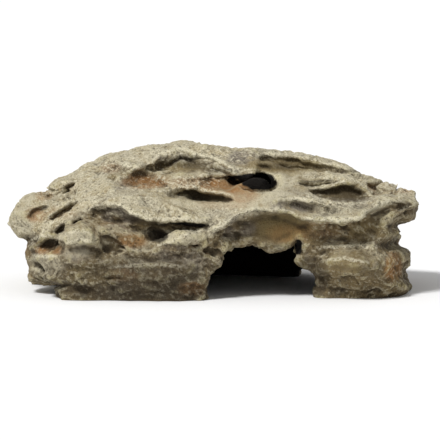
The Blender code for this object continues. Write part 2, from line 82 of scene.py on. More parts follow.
# Pockets in each view: depth, how gently the floor falls from the top edge and rises to the bottom
# edge, then both edges as points across and up.
FRONT_POCKETS = (
    # tongue and wing
    (6.5, 0.8, 3, ((-110.8, 50), (-109.5, 52), (-105, 53.6), (-99.4, 55), (-95.5, 56)),
     ((-110.8, 48), (-109, 45.3), (-106.7, 45), (-103.8, 48), (-100.4, 51.5), (-95.5, 55.8))),
    (3.5, 1.2, 2.5, ((-103.5, 60.5), (-98, 63), (-93, 62.5)), ((-103.5, 59.5), (-99, 57.3), (-93, 57.5))),
    (10, 0.8, 1.5, ((-92.6, 59.4), (-90.5, 63), (-86.3, 67.2), (-81.9, 69.8), (-80, 69.5)),
     ((-92.6, 58.8), (-88.5, 61), (-85.8, 62.8), (-81.9, 66), (-80, 69))),
    (4, 0.8, 1, ((-91.2, 58.4), (-87.8, 60.8), (-82.9, 59.6)), ((-91.2, 58), (-85.8, 57), (-82.9, 59))),
    (9.5, 0.8, 1.5, ((-98.6, 46.5), (-95.5, 49.4), (-90.7, 52.8), (-84.9, 55.8), (-79.2, 57.8)),
     ((-98.6, 45.8), (-97.5, 44.6), (-91.7, 46.4), (-86.8, 49.4), (-82.9, 52.4), (-79.2, 57))),
    (6.5, 0.8, 1.2, ((-96.5, 38.5), (-93.6, 41.6), (-90.7, 43.6), (-87, 45.6)),
     ((-96.5, 37), (-95.5, 35.4), (-91.7, 37), (-88.7, 40), (-87, 44))),
    (6.5, 0.8, 1.2, ((-85.3, 42.8), (-83.9, 45.4), (-81, 46.9), (-77.6, 47.4), (-76, 46)),
     ((-85.3, 42), (-82, 41.8), (-79, 43.2), (-76, 45))),
    (5.2, 0.8, 2, ((-105.9, 31.5), (-102.3, 34), (-98.4, 34.8), (-93.6, 33.4), (-88.8, 31.9)),
     ((-105.9, 30), (-104, 28.4), (-100.4, 27.6), (-95.5, 25.6), (-91.7, 25.6), (-88.8, 30))),
    (6, 1.5, 3, ((-67, 38.5), (-62, 38.5), (-56, 34), (-51, 30)),
     ((-67, 31), (-63, 25), (-57, 23), (-51, 27))),
    (1.6, 1.4, 3, ((-86.5, 30.5), (-82, 31.5), (-76, 31.8), (-69, 30)),
     ((-86.5, 28), (-82, 21.5), (-74, 20.5), (-69, 26))),
    # under the left rim
    (2.6, 0.8, 1, ((-72.8, 54.5), (-69.5, 56.6), (-65.5, 57.2)), ((-72.8, 54), (-70, 54.2), (-65.5, 56))),
    (3.4, 0.8, 1.2, ((-68.5, 56), (-64.5, 58.4), (-60, 58.8)), ((-68.5, 54.2), (-64, 55), (-60, 56.8))),
    (3, 3, 3, ((-73, 50), (-70, 52.6), (-64.5, 53.6), (-58.6, 54.2), (-53.8, 52.6), (-48, 49.4),
      (-42.1, 47.2), (-36.3, 45.8), (-29.5, 45.2), (-23.7, 44.8), (-17.9, 45.3), (-10.1, 45.1),
      (-5.2, 44.9), (-3, 43)),
     ((-73, 48), (-66, 45.5), (-60, 44.5), (-54, 41), (-49, 38.5), (-43, 37.6), (-38, 35.5), (-32, 34.5),
      (-26, 35.5), (-20, 38), (-10, 39.9), (-3, 42))),
    (3.5, 1.5, 1.5, ((-41, 41), (-36, 42), (-31, 41), (-25, 39)),
     ((-41, 36.5), (-37.5, 32), (-31.5, 31), (-25, 35))),
    # middle of the roof
    (3.4, 1, 8, ((-55, 73), (-44, 76.5), (-36.5, 79), (-29.5, 84), (-15, 86), (-2.3, 81.8), (12, 75.6)),
     ((-55, 66), (-40, 63.5), (-25, 64), (-10, 67), (12, 70.5))),
    (4, 1.2, 10, ((-10, 71), (1.5, 72.6), (9.3, 73.6), (21, 74), (30, 74.6), (38.5, 70)),
     ((-10, 66), (5, 57), (15, 53.5), (28, 56.5), (38.5, 63))),
    (2.4, 2, 5, ((46, 71), (60, 72), (76, 71), (94, 64)), ((46, 60), (60, 56), (76, 54), (94, 56))),
    (2.8, 0.8, 1, ((-63, 71), (-61, 72.2), (-58.5, 72.6), (-55, 71.3)),
     ((-63, 70.4), (-59, 69.2), (-55, 70.8))),
    (2, 0.8, 2, ((-66, 74.8), (-62.5, 77.4), (-57, 79), (-55, 78)), ((-66, 74), (-59.6, 74.2), (-55, 77))),
    (1.6, 0.8, 1, ((-69.5, 82), (-65, 83.6)), ((-69.5, 81), (-65, 81.4))),
    (2, 0.8, 1, ((-56, 67.6), (-51, 68.2), (-47, 66.5)), ((-56, 66.6), (-51, 66.4), (-47, 65.4))),
    (2.8, 3.5, 1.5, ((-54.5, 70), (-50, 73.4), (-43, 73.4), (-36, 72.2), (-29, 71.8), (-24.5, 70)),
     ((-54.5, 68.5), (-48, 65), (-39, 63.8), (-30, 63.8), (-24.5, 66))),
    (9, 5, 2, ((-36.5, 79), (-29.5, 84), (-21.7, 86.4), (-15, 86.4), (-10.1, 83.2), (-2.3, 81.8),
      (1.6, 80.2), (5.4, 78), (9.3, 75.8), (12.5, 74)),
     ((-36.5, 78.4), (-29.5, 75.2), (-19.8, 74.6), (-8.2, 73.6), (-4.3, 72), (-2.3, 71), (5.4, 72.2),
      (12.5, 73))),
    (3, 1.2, 1, ((-4, 78), (-1, 79.6), (4, 77.6), (9.5, 74.6)),
     ((-4, 73), (-2, 71.4), (4, 72), (9.5, 73.2))),
    (2.4, 1, 3, ((6, 82), (12, 85), (17, 86.4), (25, 85)), ((6, 80.5), (13, 78.6), (20, 76), (25, 77.5))),
    (1.8, 0.8, 1, ((15.4, 83), (17.4, 84), (20, 82)), ((15.4, 82.4), (18, 80.6), (20, 80.8))),
    (2.6, 0.8, 1, ((-8, 70.9), (1.5, 72.4), (9.3, 73.4)), ((-8, 70.2), (1.5, 70.7), (9.3, 71))),
    (15, 1.5, 1, ((4.5, 72.3), (9.3, 72.8), (14.2, 73.2), (21, 73.4), (27.8, 74.4), (33.6, 73.2),
      (37.4, 68.5)),
     ((4.5, 71), (9.3, 70.4), (14.2, 68), (17.1, 64.8), (22.9, 62.4), (28.7, 61.9), (33.6, 62.8),
      (37.4, 66.4))),
    (6, 0.8, 1.4, ((-24.6, 61.6), (-19.8, 63.3), (-16.9, 64.6), (-12, 64.2), (-8.2, 62.4), (-2.3, 61.4),
      (5.4, 60.4), (10.3, 59.2), (12.2, 57.6)),
     ((-24.6, 61), (-20.8, 60.2), (-16.9, 60.6), (-14.9, 59.4), (-12, 56.8), (-6.2, 55.5), (1.6, 55.5),
      (9.3, 55.8), (12.2, 57))),
    (1.2, 0.8, 0.8, ((0, 54.6), (7, 54.4), (15, 54)), ((0, 53.4), (7, 53), (15, 52.8))),
    # right of the roof
    (6.5, 7, 1.5, ((21, 79.5), (26, 82.4), (33.6, 83.8), (44.3, 83.6), (52, 81.4), (56.9, 80), (64.7, 78.1),
      (74.4, 76), (80, 74.8), (85.5, 73.4)),
     ((21, 78.5), (28, 76), (36, 74.4), (44, 73.6), (52, 74), (64.7, 73), (74.4, 72.4), (85.5, 72.6))),
    (6.5, 0.8, 1, ((48, 68.9), (52, 69.8), (61.7, 69.8), (67.6, 69.2), (75, 69.6)),
     ((48, 68.4), (55.9, 65.9), (61.7, 65.6), (68.5, 66), (75, 68.4))),
    (6.5, 1.6, 1, ((53, 64), (59.8, 64.6), (66.6, 65.3), (70.5, 65.8), (74.4, 67.6), (79.2, 68.2),
      (84.1, 66.2), (88, 63.6), (91.6, 60.5)),
     ((53, 63.5), (58.8, 60.8), (62.7, 58.3), (69.5, 57), (78.2, 56.2), (86, 56), (91.6, 58.5))),
    (3.5, 2, 0.8, ((56, 62.8), (66, 62.4), (76, 60.6), (87, 59)),
     ((56, 62), (62.7, 58.8), (70, 57.4), (78, 56.6), (87, 56.6))),
    (3, 0.8, 1, ((99, 66), (101, 67.8), (104.2, 67)), ((99, 64.6), (101.5, 63.2), (104.2, 64.2))),
    (3.4, 5, 2, ((33.5, 53.8), (38.4, 56.4), (44.3, 57.1), (50.1, 57.1), (54, 56.4), (58, 54.2),
      (63.5, 52)),
     ((33.5, 53), (38.4, 51.6), (44.3, 49.8), (50.1, 47.8), (56, 47.3), (63.5, 50))),
    # under the right rim
    (4.5, 6, 4, ((-2.5, 38), (3.5, 41.5), (9.3, 44.5), (13.2, 47), (17.1, 49), (24.9, 51), (31.6, 51),
      (36.5, 51.2), (44.3, 48.9), (50.1, 46.5), (56.9, 45.1), (66, 44.5)),
     ((-2.5, 36), (3.5, 35), (9.3, 34), (17, 33), (25, 32), (31, 30), (37, 30), (44.3, 33), (50, 36),
      (57, 39.5), (66, 43))),
    (4.2, 0.8, 3, ((57, 45), (64.7, 44.4), (71.5, 44), (77.3, 44.4), (84.1, 45.8), (88.9, 48.7),
      (92.8, 51.2), (96.7, 53), (102.5, 55), (113, 55.5)),
     ((57, 43), (66, 39.5), (76, 39), (86, 40), (102, 48), (113, 51))),
    (3, 0.8, 0.8, ((45, 32), (47.4, 34.6), (50.1, 34.4), (51.8, 32)),
     ((45, 30.5), (47.2, 29), (50, 28), (51.8, 30))),
    # piers
    (3.6, 0.8, 1, ((-13.8, 33), (-10.8, 33.8), (-7.6, 32.8)), ((-13.8, 30.8), (-10.8, 29.6), (-7.6, 30.6))),
    (4, 0.8, 1, ((-7.5, 28.5), (-3, 29.4), (5, 28)), ((-7.5, 27), (-2, 24.8), (5, 24.4))),
    (2, 0.8, 1, ((85, 34.6), (91, 34.8), (97, 34.4)), ((85, 33.2), (91, 32.6), (97, 32.8))),
    (2, 0.6, 0.8, ((84.2, 46), (86.4, 46)), ((84.2, 38.6), (86.4, 37.6))),
    (2, 0.8, 1.5, ((62, 15), (70, 13.8), (80, 14.4), (92, 15.4)),
     ((62, 13), (70, 11.4), (80, 12), (92, 13.4))),
    (1.8, 0.8, 1.2, ((60, 6), (74, 7), (90, 5.6), (108, 6.4)),
     ((60, 4.4), (74, 4.6), (90, 3.6), (108, 4.4))),
    (1.8, 0.8, 1, ((-40, 5), (-34, 6), (-29, 4.8)), ((-40, 3.4), (-34, 2.4), (-29, 3.2))),
    (1.8, 1, 1.6, ((-86, 14.6), (-70, 13), (-52, 14.4)), ((-86, 13), (-70, 10.6), (-52, 12))),
    (1.6, 1, 1.5, ((-62, 23), (-44, 24.6), (-26, 23)), ((-62, 21.4), (-44, 22), (-26, 21))),
)
POCKETS = {
    "front": FRONT_POCKETS,
    "back": (
        (5.5, 0.8, 3.5, ((-100, 43.5), (-80, 47.5), (-60, 49)), ((-100, 40), (-80, 40), (-60, 43))),
        (5.5, 0.8, 3, ((-50, 46.8), (-20, 45.3), (8, 47.3)), ((-50, 42), (-22, 37), (8, 42))),
        (5, 0.8, 3, ((14, 48.3), (30, 48.8), (54, 46)), ((14, 44), (32, 39), (54, 43))),
        (4.5, 0.8, 2.5, ((60, 45.8), (80, 43.3), (104, 39)), ((60, 42), (82, 37), (104, 36))),
        (3.5, 1.5, 3, ((-74, 66), (-62, 70), (-46, 71), (-28, 66)),
         ((-74, 65), (-60, 61), (-44, 60), (-28, 64.5))),
        (2, 2, 4, ((-16, 62), (-2, 66.5), (12, 66), (28, 61.5)), ((-16, 61), (-4, 56), (14, 55), (28, 60))),
        (3, 1.5, 3, ((-10, 78), (16, 83), (44, 77)), ((-10, 77), (16, 75), (44, 75.5))),
        (4.5, 0.8, 2, ((42, 70), (58, 71.5), (76, 66)), ((42, 68.5), (60, 66), (76, 64.5))),
        (4.5, 1.4, 1.2, ((60, 57.5), (80, 58.6), (98, 52)), ((60, 56.5), (80, 52.5), (98, 50))),
        (4, 0.8, 1.5, ((-46, 57.5), (-26, 60.5), (-8, 57)), ((-46, 56.5), (-26, 55), (-8, 55.5))),
        (4, 0.8, 1.5, ((-94, 55.5), (-82, 61.5), (-70, 62)), ((-94, 54.5), (-82, 57), (-70, 60.5))),
        (2.4, 0.8, 1.5, ((-30, 21.5), (0, 24.5), (28, 21.5)), ((-30, 20.5), (0, 21), (28, 20.5))),
        (2, 0.8, 1.5, ((28, 13.5), (60, 16.5), (92, 12.5)), ((28, 12.5), (60, 13.5), (92, 11.5))),
        (2.2, 0.8, 1.5, ((-92, 29.5), (-74, 33.5), (-54, 30.5)), ((-92, 28.5), (-74, 30), (-54, 29.5))),
    ),
    "left": (
        (4, 0.8, 3, ((-42, 35), (-10, 31.5), (10, 32)), ((-42, 31), (-10, 25), (10, 29))),
        (4, 0.8, 2.5, ((-30, 51.5), (-10, 55.5), (10, 51.5)), ((-30, 50.5), (-10, 49.5), (10, 50))),
        (3.5, 0.8, 2, ((10, 61), (24, 63.5), (36, 57.5)), ((10, 60), (24, 58), (36, 56))),
        (2.2, 0.8, 1.5, ((-46, 13.5), (0, 15.5), (46, 12.5)), ((-46, 12.5), (0, 12.5), (46, 11.5))),
    ),
    "right": (
        (4.2, 0.8, 3, ((-54, 47), (-20, 51.5), (10, 47.5), (50, 41)),
         ((-54, 43), (-20, 44), (10, 40), (50, 38))),
        (4, 0.8, 2.5, ((-36, 63), (-14, 67.5), (8, 62)), ((-36, 62), (-14, 61), (8, 60.5))),
        (3.5, 0.8, 2, ((14, 59), (30, 59.5), (42, 53)), ((14, 58), (30, 55), (42, 52))),
        (2.4, 0.8, 1.5, ((-52, 32), (-20, 34.5), (32, 31)), ((-52, 31), (-20, 31), (32, 30))),
        (2.2, 0.8, 1.5, ((-48, 10), (0, 12.5), (46, 9)), ((-48, 9), (0, 9.5), (46, 8))),
    ),
    "top": (
        (3, 1.2, 4, ((-62, 29), (-40, 35), (-16, 29)), ((-62, 28), (-40, 25), (-16, 27))),
        (3.2, 1.2, 4, ((2, 21), (24, 28), (48, 21)), ((2, 20), (24, 18), (48, 19))),
        (3, 1.2, 3, ((54, 13), (74, 19), (92, 11)), ((54, 12), (74, 11), (92, 9.5))),
        (3, 1.2, 3, ((-92, 13), (-78, 20.5), (-64, 17)), ((-92, 12), (-78, 13), (-64, 15))),
        (1.5, 2, 3, ((-12, 49), (10, 55), (36, 49)), ((-12, 48), (10, 48), (36, 47.5))),
    ),
}

# The large hole in the roof: its top edge and its bottom edge in the front view.
ROOF_HOLE = (
    ((5.5, 72), (9.3, 72.6), (14.2, 73), (21, 73.2), (27.8, 74.2), (33.6, 73), (37, 68.3)),
    ((5.5, 71.2), (9.3, 70.6), (14.2, 68.4), (17.1, 65.4), (22.9, 63), (28.7, 62.5), (33.6, 63.4),
     (37, 66.6)),
)

# Where a floor sinks straight down, in the front view: depth, then as for pockets.
SINKS = (
    (10, 0.8, 1, *ROOF_HOLE),
    (3, 0.8, 1.2, ((-12, 63.8), (-8.2, 62), (-2.3, 61), (5.4, 60), (10.3, 58.8), (12.2, 57.4)),
     ((-12, 58), (-6.2, 57), (1.6, 56.6), (9.3, 56.2), (12.2, 57))),
)

# Painted shade in deep holes and slots, in the front view: how dark, then as for pockets.
PITS = (
    (1, 0.8, 0.8, *ROOF_HOLE),
    (0.85, 0.6, 1.4, ((-19, 62.2), (-16.9, 64), (-12, 63.8), (-8.2, 62), (-2.3, 61), (5.4, 60),
      (10.3, 58.8), (12.2, 57.4)),
     ((-19, 61), (-15, 60.4), (-12, 58), (-6.2, 57), (1.6, 56.6), (9.3, 56.2), (12.2, 57))),
    (1, 0.6, 0.8, ((-26, 44.4), (-17.9, 45), (-10.1, 44.8), (-5.2, 44.6), (-2, 43)),
     ((-26, 43.2), (-16, 41.8), (-8, 41), (-2, 42))),
    (0.9, 1.2, 1.4, ((-39, 40), (-34, 41.5), (-29, 40.5), (-26, 38)),
     ((-39, 36.5), (-36.5, 32.5), (-31.5, 31.5), (-26, 35))),
    (0.75, 1, 1.5, ((-70, 52.4), (-58.6, 53.6), (-53.8, 52), (-48, 49), (-42, 46.8), (-30, 44.8),
      (-22, 44.4)),
     ((-70, 51), (-60, 49), (-54, 47), (-48, 44.5), (-42, 42.6), (-32, 41.5), (-22, 43))),
    (1, 0.6, 0.8, ((46.4, 32), (48.5, 34.6), (50.1, 34.6), (51.8, 32)),
     ((46.4, 27), (48, 25.4), (50, 25.4), (51.8, 28))),
    (0.6, 0.8, 1.4, ((-92.6, 59.4), (-86.3, 67), (-80.5, 69.4)),
     ((-92.6, 59), (-85.8, 63.4), (-80.5, 68.6))),
    (0.6, 0.8, 1.4, ((-98, 46.8), (-90.7, 52.6), (-80, 57.4)), ((-98, 46), (-91.7, 47.4), (-80, 56.4))),
    (0.6, 0.6, 1, ((-96, 38.6), (-90.7, 43.4), (-87, 45.4)), ((-96, 37.4), (-90, 39.4), (-87, 44.4))),
    (0.5, 0.8, 2, ((-110, 50), (-105, 53.4), (-99.4, 54.8), (-96, 55.8)),
     ((-110, 49), (-104, 50.4), (-96, 55.2))),
    (0.8, 0.6, 1.4, ((-104, 31.5), (-98.4, 34.6), (-90, 32.2)), ((-104, 31), (-98, 30.4), (-90, 30.6))),
    (0.8, 0.8, 1.6, ((54, 63.8), (66.6, 65), (75, 67), (84, 65.6), (90, 61)),
     ((54, 63.2), (63, 60.4), (76, 58.8), (90, 59.6))),
    (0.4, 1, 1, ((-5, 75), (2.5, 78), (9.3, 76.4), (16, 75.6)),
     ((-5, 71.6), (3, 72.2), (9.3, 73.2), (16, 74))),
    (0.35, 3, 3, ((21, 80), (26, 82.4), (44, 83.4), (57, 80), (74, 76), (85, 73.4)),
     ((21, 78), (36, 73.4), (52, 73), (85, 72.4))),
    (0.4, 2, 3, ((-38, 78), (-29.5, 83.6), (-15, 86), (-2.3, 81.4), (12, 74.6)),
     ((-38, 76), (-20, 75), (-4, 72.4), (12, 73))),
    (0.85, 0.6, 0.8, ((49, 68.9), (61.7, 69.6), (74, 69.2)), ((49, 68.2), (61, 67.4), (74, 68.4))),
)

# Shelves stand proud in the same way, and hang over their bottom edge.
FRONT_SHELVES = (
    (1.5, 4, 1.2, ((-90, 37), (-84, 40.5), (-74, 41), (-66, 38.5), (-61, 33)),
     ((-90, 31), (-84, 30), (-75, 29.5), (-67, 29), (-61, 31))),
    (2.6, 5, 0.8, ((-73.5, 56), (-60, 60), (-45, 55), (-25, 51), (-3, 48)),
     ((-73.5, 50.2), (-70, 52.8), (-64.5, 53.8), (-58.6, 54.4), (-53.8, 52.8), (-48, 49.6), (-42.1, 47.4),
      (-36.3, 46), (-29.5, 45.4), (-17.9, 45.5), (-3, 43.5))),
    (2, 3, 0.8, ((-50, 77), (-38, 82), (-30, 87), (-15, 90), (0, 85), (12, 78)),
     ((-50, 73.6), (-36.5, 79.3), (-29.5, 84.3), (-21.7, 86.7), (-15, 86.7), (-10.1, 83.5), (-2.3, 82.1),
      (5.4, 78.3), (12, 75))),
    (6, 2, 0.6, ((-5, 76), (2.5, 78.5), (9.3, 77.4), (18, 76.9), (26, 76.8)),
     ((-5, 71.4), (3, 72), (9.3, 73), (19, 73.6), (26, 75.4))),
    (7, 1, 4, ((-36.5, 79.6), (-29.5, 84), (-21.7, 86.4), (-15, 86.4), (-10.1, 83.4), (-2.3, 81.6),
      (5.4, 78), (12, 75)),
     ((-36.5, 76), (-29.5, 76.5), (-19.8, 77.5), (-8.2, 76), (5.4, 74), (12, 73.5))),
    (4.5, 3.5, 4, ((22, 80.6), (33, 83.8), (44, 83.8), (57, 80.4), (74, 76.4), (86, 73.8)),
     ((22, 78), (33, 78), (44, 77.2), (57, 75.6), (74, 73.8), (86, 72.8))),
    (2.4, 2, 0.8, ((24, 87), (44, 87), (62, 83), (75, 79.5), (86, 75)),
     ((24, 83.2), (33.6, 84.1), (44.3, 83.9), (56.9, 80.3), (74.4, 76.3), (86, 73.6))),
    (2.6, 4, 0.8, ((-4, 42), (9, 49), (17, 54), (37, 56), (50, 52)),
     ((-4, 38.3), (3.5, 41.8), (9.3, 44.8), (13.2, 47.3), (17.1, 49.3), (24.9, 51.3), (36.5, 51.5),
      (44.3, 49.2), (50, 46.8))),
    (2.6, 4, 0.8, ((49, 52), (57, 50), (71, 49.5), (86, 51.5), (97, 58), (113, 61)),
     ((49, 47.2), (57, 45.4), (64.7, 44.9), (71.5, 44.4), (84, 46.1), (88.9, 49), (96.7, 53.3),
      (102.5, 55.3), (113, 55.8))),
    (3.5, 3, 2.5, ((60, 26), (70, 29.5), (85, 28), (98, 24)), ((60, 14), (70, 13), (82, 14), (98, 17))),
    (2.8, 1.5, 1.2, ((-34, 36), (-24, 38.5), (-12, 40), (-4, 40)),
     ((-34, 31), (-22, 31.5), (-10, 31), (-4, 30))),
    (2, 4, 4, ((-86, 24), (-30, 24), (-5, 26)), ((-86, 8), (-60, 9), (-30, 9), (-5, 8))),
    (2.4, 2, 1.2, ((-110, 24), (-102, 27), (-94, 26)), ((-110, 12), (-102, 10), (-94, 12))),
)
SHELVES = {
    "front": FRONT_SHELVES,
    "back": (
        (2.6, 4, 0.8, ((-102, 48), (-60, 54), (-20, 52), (30, 54), (70, 50), (106, 45)),
         ((-102, 44), (-60, 49.4), (-20, 45.8), (30, 49.2), (70, 45.6), (106, 39.5))),
        (3, 4, 2.5, ((-70, 28), (-40, 30), (-10, 28)), ((-70, 16), (-40, 13), (-10, 15))),
        (3, 4, 2.5, ((16, 30), (40, 32), (60, 29)), ((16, 22), (40, 20), (60, 21))),
    ),
    "left": ((2.6, 4, 0.8, ((-42, 40), (-10, 37), (10, 38)), ((-42, 35.5), (-10, 32), (10, 33))),),
    "right": (
        (2.6, 4, 0.8, ((-54, 52), (-20, 56), (10, 53), (50, 46)),
         ((-54, 47.5), (-20, 52), (10, 48), (50, 41.5))),
        (3, 4, 2.5, ((-46, 27), (-14, 29), (18, 26)), ((-46, 18), (-14, 16), (18, 17))),
    ),
    "top": (),
}

# Ridges: reach above, reach below, height, then the points of its line.
FRONT_RIDGES = (
    (4, 1, 1.6, ((-73, 52), (-64.5, 54.4), (-58.6, 55), (-53.8, 53.4), (-48, 50.2), (-42.1, 48),
     (-36.3, 46.6), (-29.5, 46), (-17.9, 46), (-3, 44.5))),
    (3, 0.9, 1.8, ((-50, 74), (-40, 77), (-29.5, 84.8), (-21.7, 87.2), (-15, 87.2), (-10.1, 84),
     (-2.3, 82.6), (5.4, 79), (12, 76), (28, 75))),
    (2.2, 0.8, 2, ((-9, 71.6), (1.5, 73.2), (9.3, 74.2), (16, 74.6), (25, 76))),
    (2.2, 0.8, 2, ((-22, 65), (-16.9, 65.6), (-12, 65.2), (-8.2, 63.4), (-2.3, 62.2), (5.4, 61.2),
     (12.5, 59.5))),
    (2.5, 0.9, 1.6, ((24, 84), (33.6, 84.8), (44.3, 84.6), (56.9, 81), (74.4, 77), (86, 74.2))),
    (3, 1.6, 1.8, ((66, 66.2), (70.5, 66.8), (74.4, 68.8), (79.2, 69.6), (84.1, 67.4), (88, 64.8),
     (95, 60))),
    (3, 1.5, 1.4, ((53, 61.5), (60, 58.2), (70, 55.8), (80, 55), (92, 57))),
    (3, 0.8, 1.5, ((32.6, 54.8), (38.4, 57.4), (44.3, 58.1), (50.1, 58.1), (56.9, 56), (64.7, 54),
     (73, 53))),
    (3, 0.9, 2.2, ((-4, 38.5), (3.5, 42.5), (9.3, 45.5), (13.2, 48), (17.1, 50), (24.9, 52), (36.5, 52.2),
     (44.3, 49.9), (50.1, 47.5))),
    (3, 0.9, 2.2, ((48, 48.5), (56.9, 46.1), (64.7, 45.6), (71.5, 45.1), (77.3, 45.6), (84.1, 47),
     (88.9, 50), (92.8, 52.4), (96.7, 54.3), (102.5, 56.4), (114, 57))),
    (2.5, 1, 1.6, ((-108, 34.5), (-100, 36), (-93.6, 35.4), (-88, 34))),
    (2, 1.5, 1.4, ((-107, 25.5), (-98, 24.5), (-91, 24.5))),
    (4, 4, 2.2, ((-88, 37), (-80, 39.5), (-70, 37))),
    (1.6, 1.6, 1.4, ((-87, 32.4), (-78, 33.8), (-68, 32.4))),
    (2.5, 3.5, 2, ((-36, 30), (-26, 32.5), (-19, 36), (-13, 38.5), (-4, 40.5))),
    (2, 2.5, 2, ((99, 66.5), (104, 68), (109, 65))),
    (5, 5, 2.4, ((62, 21), (76, 23.5), (92, 20))),
    (2.5, 2.5, 1.4, ((58, 29), (76, 30.5), (98, 29.5))),
    (3, 3, 1.4, ((-64, 17.5), (-40, 20), (-15, 18))),
    (2.5, 1.5, 1.6, ((-56, 79), (-48, 76.5), (-40, 76))),
)
RIDGES = {
    "front": FRONT_RIDGES,
    "back": (
        (3, 1, 1.8, ((-100, 45), (-60, 50.4), (-20, 46.8), (30, 50.2), (70, 46.8), (104, 40.5))),
        (2.5, 1, 1.5, ((-76, 67), (-62, 71.2), (-46, 72.2), (-26, 67))),
        (2.5, 1, 1.5, ((-18, 63), (-2, 67.7), (12, 67.2), (30, 62.5))),
        (2.5, 2.5, 1.5, ((-70, 26), (-20, 28), (40, 27), (90, 28))),
    ),
    "left": ((3, 1, 1.5, ((-42, 36.5), (-10, 33), (10, 34))),),
    "right": ((3, 1, 1.5, ((-54, 48.5), (-20, 53), (10, 49), (50, 42.5))),),
    "top": (),
}

# Zones in each view, for paint, painted shade and painted light, and for smoothness: across, rise, half
# length, half height, strength.
RUST = {
    "front": (
        (-104, 49, 6, 4.5, 0.75), (-99, 60.5, 5, 3, 0.7), (-86, 65, 6, 3, 0.3), (-89, 50, 9, 4, 0.3),
        (-96, 28.5, 8, 3.5, 0.85), (-48, 34, 9, 4.5, 0.75), (-20, 36, 4, 2.5, 0.6),
        (-40, 68.5, 14, 4.5, 1.0), (-60, 76, 6, 3, 0.45), (6, 65, 17, 6.5, 0.95), (15, 61, 11, 6, 0.85),
        (6, 55, 16, 3, 0.4), (-12, 67, 14, 4, 0.6), (104, 19, 5, 9, 0.85), (44, 38, 14, 6, 0.4),
        (-13, 6, 8, 4, 0.7), (60, 40, 14, 5, 0.3), (-52, 14, 9, 4, 0.3),
    ),
    "back": (
        (-50, 62, 14, 5, 0.8), (6, 57, 14, 5, 0.8), (60, 65, 12, 4, 0.6), (40, 40, 18, 4, 0.5),
        (-40, 38, 20, 5, 0.5), (-70, 12, 12, 6, 0.5),
    ),
    "left": ((-10, 48, 14, 5, 0.6), (20, 24, 16, 6, 0.4),),
    "right": ((-14, 60, 14, 5, 0.6), (10, 24, 20, 8, 0.5),),
    "top": ((24, 20, 16, 5, 0.5), (-40, 27, 16, 5, 0.5),),
}
OLIVE = {
    "front": (
        (40, 78, 26, 5, 0.9), (40, 41, 20, 9, 0.9), (78, 63, 13, 5, 0.8), (-20, 77, 16, 3.5, 0.8),
        (2, 76, 6, 3, 0.6), (80, 22, 18, 9, 0.5), (-48, 74, 10, 3, 0.5), (-14, 60, 14, 4, 0.3),
        (-70, 15, 16, 6, 0.5), (-59, 71, 4, 2, 0.8), (92, 40, 12, 6, 0.4),
    ),
    "back": ((30, 30, 24, 8, 0.6), (-50, 22, 22, 8, 0.6), (16, 79, 22, 4, 0.6),),
    "left": ((0, 20, 24, 8, 0.5),),
    "right": ((0, 36, 22, 8, 0.5),),
}
PLUM = {
    "front": (
        (15, 82, 9, 4, 0.8), (8, 75, 10, 2.2, 0.9), (46, 54, 13, 4, 0.8), (-22, 82, 12, 3, 0.7),
        (-55, 48, 14, 5, 0.8), (-56, 40, 10, 6, 0.5), (12, 41, 14, 6, 0.7), (-20, 25, 16, 8, 0.5),
        (84, 56, 16, 3, 0.5), (-80, 26, 9, 5, 0.7), (60, 47, 10, 2, 0.5), (-53, 66, 6, 2.5, 0.5),
    ),
    "back": ((-20, 42, 20, 5, 0.6), (70, 42, 14, 5, 0.6), (-52, 68, 14, 3, 0.6),),
    "left": ((0, 44, 22, 4, 0.6),),
    "right": ((-20, 48, 20, 4, 0.6),),
    "top": ((24, 25, 18, 5, 0.5),),
}
# Pale paint and painted light on the tops of ledges and boulders, and painted light on the shaded face under
# the left boulder's top.
PALE_PAINT_AND_TOP_LIGHT = {
    "front": (
        (-80, 35.5, 12, 4.5, 1.0), (-80, 27, 9, 4, 0.45), (-98, 20, 10, 7, 0.5), (-110, 56, 8, 5, 0.4),
        (-66, 33, 6, 4, 0.4), (-20, 36, 16, 4, 0.9), (-35, 39, 9, 2, 0.5), (0, 57, 30, 5, 0.3),
        (34, 66, 10, 7, 0.4), (80, 52, 14, 2.5, 0.2),
    ),
    "back": ((-30, 34, 18, 3, 0.5), (50, 33, 16, 3, 0.5),),
    "left": ((10, 30, 14, 3, 0.5),),
    "right": ((-10, 33, 16, 3, 0.5),),
}
# Painted shade under the rims, in slots and hollows, on the sides of the end knobs and along the lower walls.
PAINTED_SHADE_ZONES = {
    "front": (
        (78, 58.5, 13, 2.5, 0.6), (78, 74.6, 8, 1.2, 0.6), (-45, 4, 48, 6, 0.6), (-40, 16, 38, 10, 0.55),
        (60, 13, 7, 12, 0.8), (56, 20, 7, 5, 0.6), (-97, 31, 8, 2.5, 0.5), (112, 52, 9, 8, 0.25),
        (78, 52, 24, 4, 0.25), (-113, 48, 9, 10, 0.2), (96, 66, 12, 7, 0.2), (80, 20, 18, 8, 0.2),
        (-58, 31, 5, 6, 0.35), (26, 32, 22, 5, 0.3), (-40, 70, 14, 5, 0.25),
    ),
}
SMOOTH = {
    "front": (
        (-107, 52, 11, 9, 0.5), (-50, 68, 18, 8, 0.3), (-8, 58, 26, 6, 0.7), (14, 64, 15, 7, 0.9),
        (26, 57, 20, 5, 0.8), (40, 78, 26, 5, 1.0), (38, 41, 19, 9.5, 1.0), (-78, 26, 9, 5, 0.8),
        (78, 63, 12, 5, 0.9), (-18, 76, 15, 3.5, 0.8), (48, 52, 13, 5, 0.7), (80, 22, 15, 7, 0.6),
        (44, 66, 12, 8, 0.6),
    ),
    "back": ((6, 60, 20, 7, 0.8), (-52, 66, 18, 6, 0.8), (60, 62, 20, 6, 0.6),),
    "top": ((24, 23, 24, 8, 0.6), (-40, 30, 20, 8, 0.6),),
}

